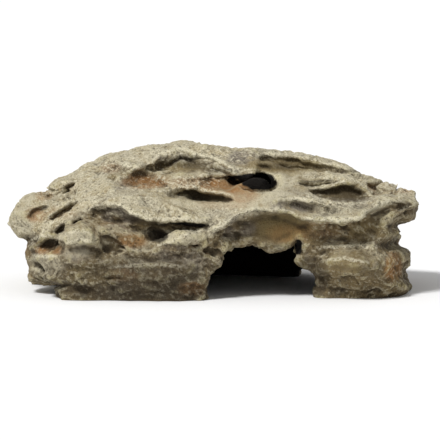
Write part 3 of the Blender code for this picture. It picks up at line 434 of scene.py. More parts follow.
# The outline seen from the front: across and rise along the top, rise and across up each side.
TOP_OUTLINE = (
    (-97, 65.9), (-95.5, 67.9), (-92.1, 70.5), (-87.8, 71.7), (-83.9, 73.4), (-76.1, 78.8), (-71.8, 80.3),
    (-68.4, 81.9), (-65.4, 83.9), (-61.6, 85), (-56.7, 85.8), (-50.9, 86.8), (-47, 88), (-42.1, 89.4),
    (-37.3, 90.2), (-31.5, 90.3), (-26.6, 90.9), (-21.7, 92.4), (-17.9, 92.8), (-13, 92.1), (-8.2, 91.2),
    (-4.3, 90.2), (1.6, 89.7), (9.3, 88.5), (15.1, 88), (22.9, 88.5), (28.7, 87.7), (36.5, 87),
    (44.3, 86.4), (50.1, 85.6), (55.9, 84.4), (61.7, 83.1), (66.6, 82.1), (71.5, 80.5), (76.3, 79),
    (81.2, 76.6), (84.6, 73.8), (87, 73.2), (90.9, 71.9), (95.7, 70.1), (99, 69), (103, 67.6), (107, 66.4),
)
LEFT_OUTLINE = (
    (8.4, -106.2), (9.6, -108.6), (11.6, -109.6), (13.5, -108.6), (16.4, -107.7), (19.3, -108),
    (21.3, -109.6), (23.7, -110.1), (26.6, -109.6), (29, -110.4), (31, -110.1), (32.9, -108.6),
    (34.4, -109.1), (35.8, -112), (37.5, -113.5), (38.4, -116.4), (39.4, -118.6), (42.1, -119.6),
    (45, -120.3), (47.5, -119.8), (50.4, -117.9), (53.8, -116.4), (57.2, -114.2), (60.1, -112.5),
    (61.4, -110.1), (62.7, -102.3),
)
RIGHT_OUTLINE = (
    (0.9, 110.3), (2.8, 112.2), (5.2, 115.6), (7.2, 116.3), (9.6, 114.2), (11.1, 113.4), (15, 112.7),
    (17.4, 112.7), (19.8, 114.7), (22.7, 115.3), (24.7, 115.1), (26.6, 113.7), (28.1, 110.3), (30, 107.4),
    (31.7, 106.6), (32.9, 107.9), (33.9, 109.3), (35.3, 110.3), (37.3, 108.8), (39.7, 108.5), (42.1, 108.8),
    (44.1, 110), (46.5, 110.3), (47.8, 112.2), (48, 115.1), (49.4, 117.1), (52.8, 119.5), (55.7, 120.2),
    (57.7, 119), (59.1, 117.1), (61.6, 113.2), (64.5, 109.3), (66.6, 107.4),
)

# Masses added to the castings before they are sculpted: x, y, z, then the three radii.
LUMPS = (
    (-104, -24, 42, 16, 16, 13),
    (-98, -30, 30, 12, 14, 8),
    (-102, -24, 14, 8, 14, 9),
    (-77, -50, 26, 18, 19, 9),
    (-84, -46, 17.5, 16.5, 19, 12),
    (107, -22, 48.5, 12.5, 16, 8.5),
    (103, -20, 60, 5, 5, 2.5),
    (106, -26, 18.5, 9, 14, 6),
)

# The hollow inside: x, y, z, then the three radii.
CAVE = ((0, 4, 0, 78, 52, 62), (-44, 8, 0, 36, 44, 50), (52, 6, 0, 44, 42, 50))

# The seams, as the castings meet: x, z under the roof and beside the wing, and the walls in plan.
ROOF_SEAM = (
    (-SIDE, 32), (-112, 33), (-98, 36), (-88, 42), (-76, 49.5), (-62, 50), (-48, 47), (-28, 45), (-7, 42),
    (-4, 36), (14, 45.5), (27, 49.5), (40, 49.5), (49, 47), (57, 44), (80, 44), (92, 49), (106, 54),
    (SIDE, 54),
)
WING_SEAM = ((-96, -50), (-96, 44), (-88, 52), (-82, 62), (-82, 150))
WALL_REGIONS = {
    "left_pier": ((-SIDE, -SIDE), (-3.85, -SIDE), (-3.85, 2.15), (-SIDE, 2.15)),
    "lintel": ((-3.85, -SIDE), (46.65, -SIDE), (46.65, 2.15), (-3.85, 2.15)),
    "right_pier": ((46.65, -SIDE), (SIDE, -SIDE), (SIDE, -3.85), (46.65, -3.85)),
    "left_end_wall": ((-SIDE, 2.15), (-61.85, 2.15), (-61.85, SIDE), (-SIDE, SIDE)),
    "back_wall": ((-61.85, 2.15), (56.15, 2.15), (56.15, SIDE), (-61.85, SIDE)),
    "right_end_wall": ((56.15, -3.85), (SIDE, -3.85), (SIDE, SIDE), (56.15, SIDE)),
}


# ---- surface as arrays: points in millimetres, and quads --------------------------------------

def level_set(points, faces):
    """A signed distance grid around a closed surface of triangles or quads."""
    kind = {"triangles" if faces.shape[1] == 3 else "quads": faces.astype(np.int32)}
    transform = openvdb.createLinearTransform(voxelSize=VOXEL)
    return openvdb.FloatGrid.createLevelSetFromPolygons(
        points.astype(np.float32), transform=transform, halfWidth=2 + CLOSING / VOXEL, **kind
    )


def surface(grid, offset=0.0):
    points, _, quads = grid.convertToPolygons(isovalue=offset, adaptivity=0)
    return points.astype(float), quads[:, ::-1].astype(np.int32)


def ellipsoid(row):
    bm = bmesh.new()
    bmesh.ops.create_icosphere(bm, subdivisions=4, radius=1)
    places = np.array([vert.co[:] for vert in bm.verts]) * row[3:] + row[:3]
    corners = np.array([[vert.index for vert in face.verts] for face in bm.faces])
    bm.free()
    return places, corners


def joined_castings():
    """The CAD castings as one surface, with the glue lines between them closed."""
    points, triangles, count = [], [], 0
    for node in frame["nodes"].values():
        mesh = node.data
        places = np.empty(len(mesh.vertices) * 3, np.float32)
        mesh.vertices.foreach_get("co", places)
        mesh.calc_loop_triangles()
        corners = np.empty(len(mesh.loop_triangles) * 3, np.int32)
        mesh.loop_triangles.foreach_get("vertices", corners)
        points.append(places.reshape(-1, 3) / MM)
        triangles.append(corners.reshape(-1, 3) + count)
        count += len(points[-1])
    for places, corners in map(ellipsoid, LUMPS):
        points.append(places)
        triangles.append(corners + count)
        count += len(points[-1])
    swollen = surface(level_set(np.vstack(points), np.vstack(triangles)), CLOSING)
    return surface(level_set(*swollen), SWELL - CLOSING)


def edges_of(quads):
    pairs = np.sort(np.vstack([quads[:, [i, (i + 1) % 4]] for i in range(4)]), axis=1)
    keys = np.unique(pairs[:, 0].astype(np.int64) << 32 | pairs[:, 1])
    return np.stack([keys >> 32, keys & 0xFFFFFFFF], axis=1)


def summed(index, values, count):
    return np.stack([np.bincount(index, v, count) for v in values.T], axis=1)


def smoothed(points, edges, rounds):
    """Laplacian smoothing: each round takes every point half way to the middle of its neighbours."""
    a, b = edges.T
    neighbours = np.bincount(a, minlength=len(points)) + np.bincount(b, minlength=len(points))
    for _ in range(rounds):
        total = summed(a, points[b], len(points)) + summed(b, points[a], len(points))
        points = points + 0.5 * (total / neighbours[:, None] - points)
    return points


def normals_of(points, quads):
    across = points[quads[:, 2]] - points[quads[:, 0]]
    along = points[quads[:, 3]] - points[quads[:, 1]]
    face = np.cross(across, along)
    total = sum(summed(quads[:, i], face, len(points)) for i in range(4))
    return total / (np.linalg.norm(total, axis=1)[:, None] + 1e-9)


def smooth_step(low, high, values):
    t = np.clip((values - low) / (high - low), 0, 1)
    return t * t * (3 - 2 * t)


def gradient_noise(points, seed):
    """Perlin noise at each point, in about -0.7 to 0.7."""
    draw = np.random.default_rng(seed)
    shuffle = draw.permutation(256)
    slopes = draw.normal(size=(256, 3))
    slopes /= np.linalg.norm(slopes, axis=1)[:, None]
    cell = np.floor(points).astype(int)
    inside = points - cell
    blend = inside**3 * (inside * (inside * 6 - 15) + 10)
    total = np.zeros(len(points))
    for corner in np.ndindex(2, 2, 2):
        at = (cell + corner) & 255
        slope = slopes[shuffle[(shuffle[(shuffle[at[:, 0]] + at[:, 1]) & 255] + at[:, 2]) & 255]]
        weight = np.prod(np.where(corner, blend, 1 - blend), axis=1)
        total += weight * np.sum(slope * (inside - corner), axis=1)
    return total


def ridged_noise(points, seed):
    """Sharp crests between flat hollows, from 0 to 1."""
    return 1 - np.minimum(1, np.abs(gradient_noise(points, seed)) * CREST_SHARPNESS)


def bumps(points, size, seed):
    """Small round bumps at scattered places, from 0 to 1 at a bump's middle."""
    draw = np.random.default_rng(seed)
    offsets = draw.random((256, 4))
    shuffle = draw.permutation(256)
    cell = np.floor(points / size).astype(int)
    best = np.zeros(len(points))
    for corner in np.ndindex(3, 3, 3):
        at = cell + corner - 1
        near = offsets[shuffle[(shuffle[(shuffle[at[:, 0] & 255] + at[:, 1]) & 255] + at[:, 2]) & 255]]
        distance = np.linalg.norm(points / size - at - near[:, :3], axis=1)
        best = np.maximum(best, np.clip(1 - (distance / (0.2 + 0.4 * near[:, 3])) ** 2, 0, 1))
    return best


# ---- sculpting ---------------------------------------------------------------------------------

def view_axes(view):
    azimuth, elevation, base = VIEWS[view]
    a, e = math.radians(azimuth), math.radians(elevation)
    right = np.array((math.cos(a), math.sin(a), 0))
    sight = np.array((-math.sin(a) * math.cos(e), math.cos(a) * math.cos(e), -math.sin(e)))
    return right, sight, np.cross(right, sight), np.array(base, float)


def seen_from(points, view):
    """Across and rise of each point as the camera sees them against the view's base, and its scale there."""
    right, sight, up, base = view_axes(view)
    scale = CAMERA_RANGE / (CAMERA_RANGE - MIDDLE + (points - base) @ sight)
    across = AIM[0] + ((points - base) @ right - AIM[0]) * scale
    return across, AIM[1] + ((points - base) @ up - AIM[1]) * scale, scale


def in_view(points, view):
    """Across and rise of each point in a view, with a natural waver."""
    across, rise, _ = seen_from(points, view)
    plane = np.stack([across, rise, np.zeros(len(points))], axis=1)
    waver = [1.2 * gradient_noise(plane / 8, seed) + 0.7 * gradient_noise(plane / 3, seed) for seed in (1, 2)]
    return across + waver[0], rise + waver[1]


def pocket_floor(across, rise, top_edge, bottom_edge, upper, lower):
    """0 outside a pocket, 1 on its floor."""
    ux, uz = np.array(upper, float).T
    lx, lz = np.array(lower, float).T
    ends = smooth_step(0, 0.8, across - ux[0]) * smooth_step(0, 0.8, ux[-1] - across)
    below, above = np.interp(across, ux, uz) - rise, rise - np.interp(across, lx, lz)
    return ends * smooth_step(0, top_edge, below) * smooth_step(0, bottom_edge, above)


def ridge_height(across, rise, above, below, height, line):
    xs, zs = np.array(line, float).T
    along = np.clip((across - xs[0]) / (xs[-1] - xs[0]), 0, 1)
    ends = np.sqrt(np.clip(1 - (2 * along - 1) ** 4, 0, 1))
    offset = rise - np.interp(across, xs, zs)
    return height * ends * np.exp(-((offset / np.where(offset > 0, above, below)) ** 2))


def in_views(points):
    return {view: in_view(points, view) for view in VIEWS}


def facing(normals, view, limits):
    """0 where the surface turns away from a view, 1 where it faces it, between two limits."""
    return smooth_step(*limits, -(normals @ view_axes(view)[1]))


def carved(points, quads):
    """The surface with every view's ridges raised and pockets cut in, back under their top edges."""
    edges = edges_of(quads)
    normals = normals_of(smoothed(points, edges, BROAD), quads)
    places = in_views(points)
    move = np.zeros_like(points)
    for view, place in places.items():
        _, sight, up, _ = view_axes(view)
        seen, nearly_seen = facing(normals, view, SEEN), facing(normals, view, NEARLY_SEEN)
        outward = normals - sight * seen[:, None]
        outward /= np.linalg.norm(outward, axis=1)[:, None] + 1e-6
        height = sum(RIDGE_GAIN * ridge_height(*place, *row) for row in RIDGES[view]) * nearly_seen
        shelf = sum(POCKET_GAIN * proud * pocket_floor(*place, *row) for proud, *row in SHELVES[view])
        depth = sum(POCKET_GAIN * depth * pocket_floor(*place, *row) for depth, *row in POCKETS[view])
        step = (depth - shelf) * seen
        move += outward * (height - step)[:, None] + up * (UNDERCUT * step)[:, None]
    sinking = smooth_step(-0.1, 0.3, normals_of(points, quads)[:, 2]) * facing(normals, "front", SEEN)
    move[:, 2] -= sinking * sum(depth * pocket_floor(*places["front"], *row) for depth, *row in SINKS)
    return surface(level_set(points + move * outside(points, normals)[:, None], quads))


def outside(points, normals):
    """0 on the walls of the cave, 1 on the outer face of the rock."""
    inner = np.zeros(len(points))
    for x, y, z, *radii in CAVE:
        centre = np.array((x, y, z))
        reach = np.linalg.norm((points - centre) / radii, axis=1)
        towards = np.sum(normals * (centre - points) / np.array(radii) ** 2, axis=1)
        inner = np.maximum(inner, smooth_step(1.12, 1.04, reach) * smooth_step(-0.002, 0.006, towards))
    return 1 - inner


def roof_share(points):
    """1 over the roof's rim, 0 on the walls below it."""
    over = points[:, 2] - np.interp(points[:, 0], *np.array(ROOF_SEAM, float).T)
    return smooth_step(-2, 3, over + 2.5 * gradient_noise(points / 7, 31))


def outline_gap(along, across, outline, side):
    """How far the outline lies beyond the points that are furthest out beside it."""
    places, wanted = np.array(outline, float).T
    steps = np.arange(places[0], places[-1], OUTLINE_STEP)
    beside = (across[np.abs(along - step) < OUTLINE_STEP * 0.75] for step in steps)
    gap = side * np.interp(steps, places, wanted) - [np.max(side * part, initial=-SIDE) for part in beside]
    gap = np.where(np.abs(gap) < MOST_FITTED, gap, 0)
    gap = np.convolve(np.pad(gap, len(GAP_BLUR) // 2, "edge"), GAP_BLUR, "valid")
    inside = smooth_step(places[0] - 3, places[0], along) * smooth_step(places[-1] + 3, places[-1], along)
    return side * inside * np.interp(along, steps, gap)


SIDE_FIT, TOP_FIT = (70, 102), (54, 74)  # where fitting sets in, and where it is full


def fitted(points):
    """The rock, pushed or pulled at its rim so that the front view keeps to its outline."""
    points = points.copy()
    for _ in range(2):
        for outline, side in ((LEFT_OUTLINE, -1), (RIGHT_OUTLINE, 1)):
            across, rise, scale = seen_from(points, "front")
            share = smooth_step(*SIDE_FIT, side * across)
            points[:, 0] += outline_gap(rise, across, outline, side) / scale * share
        across, rise, scale = seen_from(points, "front")
        points[:, 2] += outline_gap(across, rise, TOP_OUTLINE, 1) / scale * smooth_step(*TOP_FIT, rise)
    return points


def zone_share(normals, places, zones):
    """How far each point is in any of the zones."""
    share = np.zeros(len(normals))
    for view, rows in zones.items():
        across, rise = places[view]
        painted = facing(normals, view, PAINTED)
        for x, z, length, height, strength in rows:
            reach = np.hypot((across - x) / length, (rise - z) / height)
            share = np.maximum(share, strength * painted * smooth_step(1.3, 0.6, reach))
    return share


# Ridged noise over the rock: size in x, y and z, seed, and the level that stays flat.
STRATA, CHUNKS, FOLDS = (38, 38, 7, 15, 0.5), (20, 20, 11, 23, 0.5), (26, 26, 13, 22, 0.5)
BLOCKS, NODULES = (12, 12, 7, 16, 0.5), (4.4, 4.4, 3.4, 17, 0.6)


def roughened(points, quads):
    """Strata, erosion, nodules and grain: strong on the walls, fine on the roof, faint inside."""
    normals = normals_of(points, quads)
    wall = 1 - roof_share(points)
    rough = 1 - zone_share(normals, in_views(points), SMOOTH)
    bent = points + 5 * np.stack([gradient_noise(points / 22, seed) for seed in (11, 12, 13)], axis=1)
    patchy = smooth_step(-0.2, 0.3, gradient_noise(points / 15, 14))
    strata, chunks, folds, blocks, nodules = (
        ridged_noise(bent / size, seed) - level
        for *size, seed, level in (STRATA, CHUNKS, FOLDS, BLOCKS, NODULES)
    )
    lumps = 0.8 * patchy * nodules
    height = wall * rough * (0.7 * strata + 1.5 * chunks + (0.9 + 0.7 * patchy) * blocks + lumps)
    height += (1 - wall) * rough * (2 * folds + (0.5 + 0.8 * patchy) * blocks + lumps)
    height += (0.25 + 0.75 * rough) * (0.5 * bumps(points, 3.4, 19) + 0.35 * gradient_noise(points / 1.9, 18))
    height -= 0.9 * wall * patchy * rough * bumps(points, 6, 20)
    outer = outside(points, normals)
    return points + normals * (height * (0.35 + 0.65 * outer))[:, None]


def sculpted():
    points, quads = joined_castings()
    points[:, 2] -= FOOT_DEPTH * (1 - smooth_step(0, 2, points[:, 2]))
    points = smoothed(points, edges_of(quads), SMOOTHING)
    points, quads = carved(points, quads)
    return fitted(roughened(points, quads)), quads, edges_of(quads)


# ---- paint masks -------------------------------------------------------------------------------

FULL_POCKET = 7  # a pocket this deep takes its full tan paint and painted shade
RIM_PAINT = (1.8, 0.7, 1)  # reach above, reach below, strength
CREST_GAIN, RELIEF_GAIN = 5, 0.9


def paint_masks(points, quads, edges):
    """Where each paint, painted shade and painted light goes, from 0 to 1 at each point, or -1 to 1 for
    hollow to proud.
    """
    normals = normals_of(points, quads)
    fine = smoothed(points, edges, 3)
    broad = smoothed(fine, edges, BROAD)
    pocket, rim, places = np.zeros(len(points)), np.zeros(len(points)), in_views(points)
    for view, place in places.items():
        painted = facing(normals, view, PAINTED)
        # A pocket's depth sets its tan paint and the painted shade in deep pockets.
        for depth, *row in POCKETS[view]:
            pocket = np.maximum(pocket, min(1, depth / FULL_POCKET) * painted * pocket_floor(*place, *row))
        for *_, line in RIDGES[view]:
            rim = np.maximum(rim, painted * ridge_height(*place, *RIM_PAINT, line))
    # Painted shade in the pits, seen from the front.
    pits = np.max([darkness * pocket_floor(*places["front"], *row) for darkness, *row in PITS], axis=0)
    pits *= facing(normals, "front", PAINTED)
    outer = outside(points, normals)
    return {
        "crest": np.clip(np.sum((points - fine) * normals, axis=1) * CREST_GAIN / VOXEL, -1, 1),
        # Broad hollow to proud: an ochre tint on proud parts and painted shade in the hollows.
        "relief": np.clip(np.sum((fine - broad) * normals, axis=1) * RELIEF_GAIN, -1, 1),
        "roof": roof_share(points),
        "pocket": pocket * outer,
        "rim": rim,
        "rust": zone_share(normals, places, RUST),
        "olive": zone_share(normals, places, OLIVE),
        "plum": zone_share(normals, places, PLUM),
        "pale_and_lit": zone_share(normals, places, PALE_PAINT_AND_TOP_LIGHT),
        "painted_shade": np.maximum(zone_share(normals, places, PAINTED_SHADE_ZONES), pits),
        "even": zone_share(normals, places, SMOOTH),
        "outer": outer,
    }


# ---- pieces ------------------------------------------------------------------------------------

def linked(name, mesh):
    obj = bpy.data.objects.new(name, mesh)
    bpy.context.scene.collection.objects.link(obj)
    return obj


def mesh_of(points, quads):
    """The whole rock, with its points numbered so that a piece cut from it can be told which it kept."""
    mesh = bpy.data.meshes.new("whole")
    mesh.from_pydata(points * MM, [], quads.tolist())
    numbers = np.arange(len(points), dtype=np.float32)
    for name, values in (("number", numbers), ("uncut", np.ones_like(numbers))):
        mesh.attributes.new(name, "FLOAT", "POINT").data.foreach_set("value", values)
    return mesh


def prism(outline, near, far, plane):
    """A flat outline in the XZ or XY plane, extruded from near to far along the third axis."""
    bm = bmesh.new()
    travel = Vector((0, far - near, 0) if plane == "XZ" else (0, 0, far - near))
    start = [Vector((a, near, b) if plane == "XZ" else (a, b, near)) for a, b in outline]
    face = bm.faces.new([bm.verts.new(p * MM) for p in start])
    moved = bmesh.ops.extrude_face_region(bm, geom=[face])["geom"]
    bmesh.ops.translate(bm, verts=[g for g in moved if isinstance(g, bmesh.types.BMVert)], vec=travel * MM)
    bmesh.ops.recalc_face_normals(bm, faces=bm.faces)
    mesh = bpy.data.meshes.new("region")
    bm.to_mesh(mesh)
    bm.free()
    return linked("region", mesh)


def within(mesh, region):
    """The part of a closed mesh that lies inside a region."""
    piece = linked("piece", mesh)
    keep = piece.modifiers.new("keep", "BOOLEAN")
    keep.operation, keep.solver, keep.object = "INTERSECT", "MANIFOLD", region
    graph = bpy.context.evaluated_depsgraph_get()
    result = bpy.data.meshes.new_from_object(piece.evaluated_get(graph))
    bpy.data.objects.remove(piece)
    bpy.data.objects.remove(region)
    return result


def values_of(mesh, name):
    values = np.empty(len(mesh.vertices), np.float32)
    mesh.attributes[name].data.foreach_get("value", values)
    return values


def number_cuts(mesh, tree):
    """Give each point that a cut made the number of the nearest point of the whole rock."""
    numbers, whole = values_of(mesh, "number"), values_of(mesh, "uncut") > 0.999
    for index in np.flatnonzero(~whole | (numbers != np.round(numbers))):
        numbers[index] = tree.find(mesh.vertices[index].co)[1]
    return np.round(numbers).astype(int)


def castings(whole):
    above = ROOF_SEAM + ((SIDE, SIDE), (-SIDE, SIDE))
    below = ROOF_SEAM + ((SIDE, 0), (-SIDE, 0))
    top = within(whole, prism(above, -SIDE, SIDE, "XZ"))
    walls = within(whole, prism(below, -SIDE, SIDE, "XZ"))
    meshes = {
        "roof_shell": within(top, prism(WING_SEAM + ((SIDE, SIDE), (SIDE, -SIDE)), -SIDE, SIDE, "XZ")),
        "left_wing": within(top, prism(WING_SEAM + ((-SIDE, SIDE), (-SIDE, -SIDE)), -SIDE, SIDE, "XZ")),
    }
    for node, outline in WALL_REGIONS.items():
        meshes[node] = within(walls, prism(outline, -1, SIDE, "XY"))
    return meshes


# ---- paint -------------------------------------------------------------------------------------

class Nodes:
    """Short names for the shader nodes that the paint uses."""

    def __init__(self, material):
        self.tree = material.node_tree
        self.place = self.add("ShaderNodeTexCoord").outputs["Object"]

    def add(self, kind, **settings):
        node = self.tree.nodes.new(kind)
        for name, value in settings.items():
            setattr(node, name, value)
        return node

    def put(self, socket, value):
        if isinstance(value, bpy.types.NodeSocket):
            self.tree.links.new(value, socket)
        else:
            socket.default_value = value

    def mask(self, name):
        return self.add("ShaderNodeAttribute", attribute_name=name).outputs["Fac"]

    def noise(self, size, detail, rough=0.55):
        """Noise with a feature size in millimetres."""
        noise = self.add("ShaderNodeTexNoise")
        self.put(noise.inputs["Vector"], self.place)
        noise.inputs["Scale"].default_value = 1 / (size * MM)
        noise.inputs["Detail"].default_value = detail
        noise.inputs["Roughness"].default_value = rough
        return noise.outputs["Fac"]

    def ramp(self, value, low, high):
        """0 below low, 1 above high."""
        node = self.add("ShaderNodeMapRange", interpolation_type="SMOOTHSTEP")
        self.put(node.inputs["Value"], value)
        node.inputs["From Min"].default_value, node.inputs["From Max"].default_value = low, high
        return node.outputs["Result"]

    def math(self, operation, a, b):
        node = self.add("ShaderNodeMath", operation=operation)
        self.put(node.inputs[0], a)
        self.put(node.inputs[1], b)
        return node.outputs[0]

    def product(self, share, *shares):
        for other in shares:
            share = self.math("MULTIPLY", share, other)
        return share

    def line(self, value, slope, start):
        """slope * value + start"""
        return self.math("ADD", self.product(value, slope), start)

    def mix(self, share, a, b):
        node = self.add("ShaderNodeMix", data_type="RGBA")
        self.put(node.inputs["Factor"], share)
        self.put(node.inputs[6], a)
        self.put(node.inputs[7], b)
        return node.outputs[2]

    def layered(self, body, *layers):
        """Paints laid over the body in turn, each where the product of its shares is above 0."""
        for paint, *shares in layers:
            body = self.mix(self.product(*shares), body, paint)
        return body

    def z_of(self, vector):
        node = self.add("ShaderNodeSeparateXYZ")
        self.put(node.inputs[0], vector)
        return node.outputs["Z"]


def rgb(red, green, blue):
    """An sRGB colour from 0 to 255 as the linear colour a shader takes."""
    return (*(((c / 255 + 0.055) / 1.055) ** 2.4 for c in (red, green, blue)), 1)


PALE, CREAM, GREY = rgb(192, 183, 157), rgb(218, 210, 184), rgb(154, 147, 130)
SAND, TAN, OCHRE, RUSTY = rgb(172, 158, 124), rgb(134, 117, 84), rgb(186, 174, 118), rgb(150, 108, 62)
OLIVE_PAINT, PLUM_PAINT = rgb(122, 106, 70), rgb(124, 116, 106)
# The second of these darks is a wash in creases and specks and also the painted shade in hollows, along the
# foot and in shaded zones; the darkest is the cave's black paint and also the painted shade in deep pits.
BROWN, WASH_AND_SHADE, DEEP = rgb(90, 79, 60), rgb(54, 45, 33), rgb(16, 12, 8)
GRIT = rgb(168, 154, 118)


def rock_paint(name):
    """Matt paint over cast stone: dry-brushed crests, a wash in the hollows with painted shade in them, in
    pits and along the foot, painted light on tops and upward faces, rust stains and grain.
    """
    material = bpy.data.materials.new(name)
    material.use_nodes = True
    n = Nodes(material)
    shader = material.node_tree.nodes["Principled BSDF"]
    crest, relief, rim, roof, pocket, even = map(n.mask, ("crest", "relief", "rim", "roof", "pocket", "even"))
    rust, olive, plum, pale_and_lit, painted_shade, outer = map(n.mask, ("rust", "olive", "plum", "pale_and_lit", "painted_shade", "outer"))
    rise = n.z_of(n.place)
    upward = n.z_of(n.add("ShaderNodeNewGeometry").outputs["Normal"])
    broad, mid = n.noise(30, 3), n.noise(8, 5, 0.6)
    grain, speck = n.noise(1.8, 3, 0.7), n.noise(0.9, 2, 0.6)

    wall = n.layered(
        n.mix(n.ramp(broad, 0.36, 0.64), BROWN, TAN),
        (GREY, n.ramp(mid, 0.45, 0.7), 0.45),
        # Pale paint and painted top light on the walls' upward faces.
        (PALE, n.ramp(upward, 0.25, 0.9), n.ramp(mid, 0.35, 0.6), 0.6),
    )
    top = n.layered(
        n.mix(n.ramp(mid, 0.3, 0.6), SAND, PALE),
        (GREY, n.ramp(broad, 0.5, 0.7), 0.6),
        (TAN, n.ramp(n.noise(5, 4, 0.65), 0.56, 0.68), 0.6),
    )
    stained = n.layered(
        n.mix(roof, wall, top),
        (TAN, n.ramp(pocket, 0.0, 0.8), 0.55),
        (OLIVE_PAINT, olive, n.ramp(mid, 0.1, 0.45)),
        (PLUM_PAINT, plum, n.ramp(mid, 0.3, 0.6)),
        (RUSTY, rust, n.ramp(mid, 0.2, 0.6)),
        # Pale paint and painted light on the tops.
        (PALE, pale_and_lit, n.ramp(mid, 0.2, 0.5)),
    )
    # A dark wash in the fine creases, with painted shade in deep pockets, in the broad hollows and along the
    # foot.
    washed_and_shaded = n.layered(
        stained,
        # Painted shade in the deepest pockets.
        (WASH_AND_SHADE, n.ramp(pocket, 0.6, 1.0), 0.3),
        # Painted shade in the broad hollows, stronger on the walls than on the roof.
        (WASH_AND_SHADE, n.ramp(relief, -0.05, -0.8), n.line(roof, -0.3, 0.7)),
        (WASH_AND_SHADE, n.ramp(crest, -0.15, -0.9), 0.4),
        # Painted shade along the foot: darker towards the bottom 16 mm.
        (WASH_AND_SHADE, n.ramp(rise, 0.016, 0.0), n.ramp(mid, 0.25, 0.6), 0.5),
    )
    brush = n.product(n.ramp(crest, 0.08, 0.65), n.ramp(grain, 0.3, 0.6), n.line(roof, 0.45, 0.35))
    brushed = n.layered(
        washed_and_shaded,
        (OCHRE, n.ramp(relief, 0.15, 0.8), n.ramp(mid, 0.4, 0.6), 0.4),
        (CREAM, brush, n.line(even, -0.85, 1.0)),
        (CREAM, n.ramp(rim, 0.2, 0.9), n.ramp(grain, 0.35, 0.6), 0.75),
    )
    loose = n.line(n.math("MAXIMUM", even, n.ramp(pocket, 0.2, 0.7)), -0.7, 1.0)
    specked = n.layered(
        brushed,
        (n.mix(roof, GRIT, CREAM), n.ramp(speck, 0.52, 0.68), 0.55, n.line(roof, 0.65, 0.35), loose),
        (WASH_AND_SHADE, n.ramp(n.noise(2.6, 2, 0.5), 0.4, 0.3), 0.6, loose),
        (WASH_AND_SHADE, n.ramp(speck, 0.48, 0.3), 0.5, loose),
    )
    # Painted shade from the shade zones and the pits, near black in the deepest pits.
    shaded = n.layered(specked, (WASH_AND_SHADE, n.ramp(painted_shade, 0.0, 0.7), 0.6), (DEEP, n.ramp(painted_shade, 0.75, 1.0)))
    n.put(shader.inputs["Base Color"], n.mix(outer, DEEP, shaded))

    n.put(shader.inputs["Roughness"], n.line(mid, 0.2, 0.76))
    shader.inputs["Specular IOR Level"].default_value = 0.2
    bump = n.add("ShaderNodeBump")
    bump.inputs["Distance"].default_value = 0.0018
    bump.inputs["Strength"].default_value = 0.8
    n.put(bump.inputs["Height"], n.line(speck, 0.5, grain))
    n.put(shader.inputs["Normal"], bump.outputs[0])
    return material


SEAM_FACE = 0.35  # a face that keeps less of the rock's normal than this is a seam's cut face


def smooth_across_seams(mesh, rock_normals):
    """The whole rock's normals on the outer faces, and flat ones on the cut faces of a seam."""
    corners = np.empty(len(mesh.loops), np.int32)
    mesh.loops.foreach_get("vertex_index", corners)
    wanted = rock_normals[corners]
    sides = np.empty(len(mesh.polygons), np.int32)
    mesh.polygons.foreach_get("loop_total", sides)
    flat = np.empty(len(mesh.polygons) * 3, np.float32)
    mesh.polygons.foreach_get("normal", flat)
    flat = np.repeat(flat.reshape(-1, 3), sides, axis=0)
    off = np.sum(flat * wanted, axis=1) < SEAM_FACE
    wanted[off] = flat[off]
    mesh.shade_smooth()
    mesh.normals_split_custom_set(wanted)


def dressed(node, mesh, numbers, masks, rock_normals):
    """One casting's visible piece, with its paint, in place of its CAD node."""
    piece = linked(f"{node}_rock", mesh)
    slot = next(part["material_slot"] for part in frame["record"]["subparts"] if part["node"] == node)
    for name in ("number", "uncut"):
        mesh.attributes.remove(mesh.attributes[name])
    for name, values in masks.items():
        stored = mesh.attributes.new(name, "FLOAT", "POINT")
        stored.data.foreach_set("value", values[numbers].astype(np.float32))
    mesh.materials.clear()
    mesh.materials.append(bpy.data.materials.get(slot + "_paint") or rock_paint(slot + "_paint"))
    smooth_across_seams(mesh, rock_normals[numbers])
    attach(piece, "root")
    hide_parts(node)


# ---- floor, light and camera -------------------------------------------------------------------

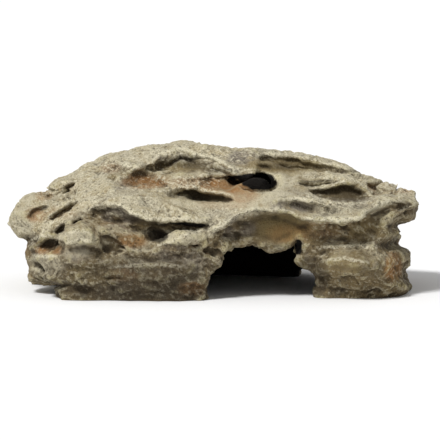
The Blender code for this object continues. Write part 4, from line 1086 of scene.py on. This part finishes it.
def floor():
    bpy.ops.mesh.primitive_plane_add(size=8, location=(0, 0, -0.0002))
    ground = bpy.context.object
    ground.name = "floor"
    paint = bpy.data.materials.new("floor_paint")
    paint.use_nodes = True
    paint.node_tree.nodes["Principled BSDF"].inputs["Base Color"].default_value = (0.9, 0.9, 0.9, 1)
    paint.node_tree.nodes["Principled BSDF"].inputs["Roughness"].default_value = 0.9
    ground.data.materials.append(paint)


def sun(name, towards, strength, softness):
    lamp = bpy.data.lights.new(name, "SUN")
    lamp.energy, lamp.angle = strength, math.radians(softness)
    linked(name, lamp).rotation_euler = Vector(towards).to_track_quat("-Z", "Y").to_euler()


def studio():
    world = bpy.data.worlds.new("studio")
    bpy.context.scene.world = world
    world.use_nodes = True
    world.node_tree.nodes["Background"].inputs["Color"].default_value = (1, 1, 1, 1)
    world.node_tree.nodes["Background"].inputs["Strength"].default_value = 0.46
    sun("key", (0.45, 0.6, -0.95), 2.95, 14)
    bpy.context.scene.view_settings.view_transform = "Standard"


def camera():
    """A long lens, a little above level, that frames the ornament with a narrow white margin."""
    lens = bpy.data.cameras.new("camera")
    lens.sensor_width = 36
    lens.lens = 36 * CAMERA_RANGE / PICTURE_WIDTH
    obj = linked("camera", lens)
    elevation = math.radians(VIEWS["front"][1])
    back = Vector((0, -math.cos(elevation), math.sin(elevation)))
    up = Vector((0, math.sin(elevation), math.cos(elevation)))
    aim = Vector((AIM[0], VIEWS["front"][2][1], 0)) + up * AIM[1]
    obj.location = (aim + back * (CAMERA_RANGE - MIDDLE)) * MM
    obj.rotation_euler = (-back).to_track_quat("-Z", "Y").to_euler()
    lens.clip_end = 20
    bpy.context.scene.camera = obj


def main():
    points, quads, edges = sculpted()
    masks = paint_masks(points, quads, edges)
    rock_normals = normals_of(points, quads)
    tree = kdtree.KDTree(len(points))
    for index, place in enumerate((points * MM).tolist()):
        tree.insert(place, index)
    tree.balance()
    for node, mesh in castings(mesh_of(points, quads)).items():
        dressed(node, mesh, number_cuts(mesh, tree), masks, rock_normals)
    floor()
    studio()
    camera()


main()
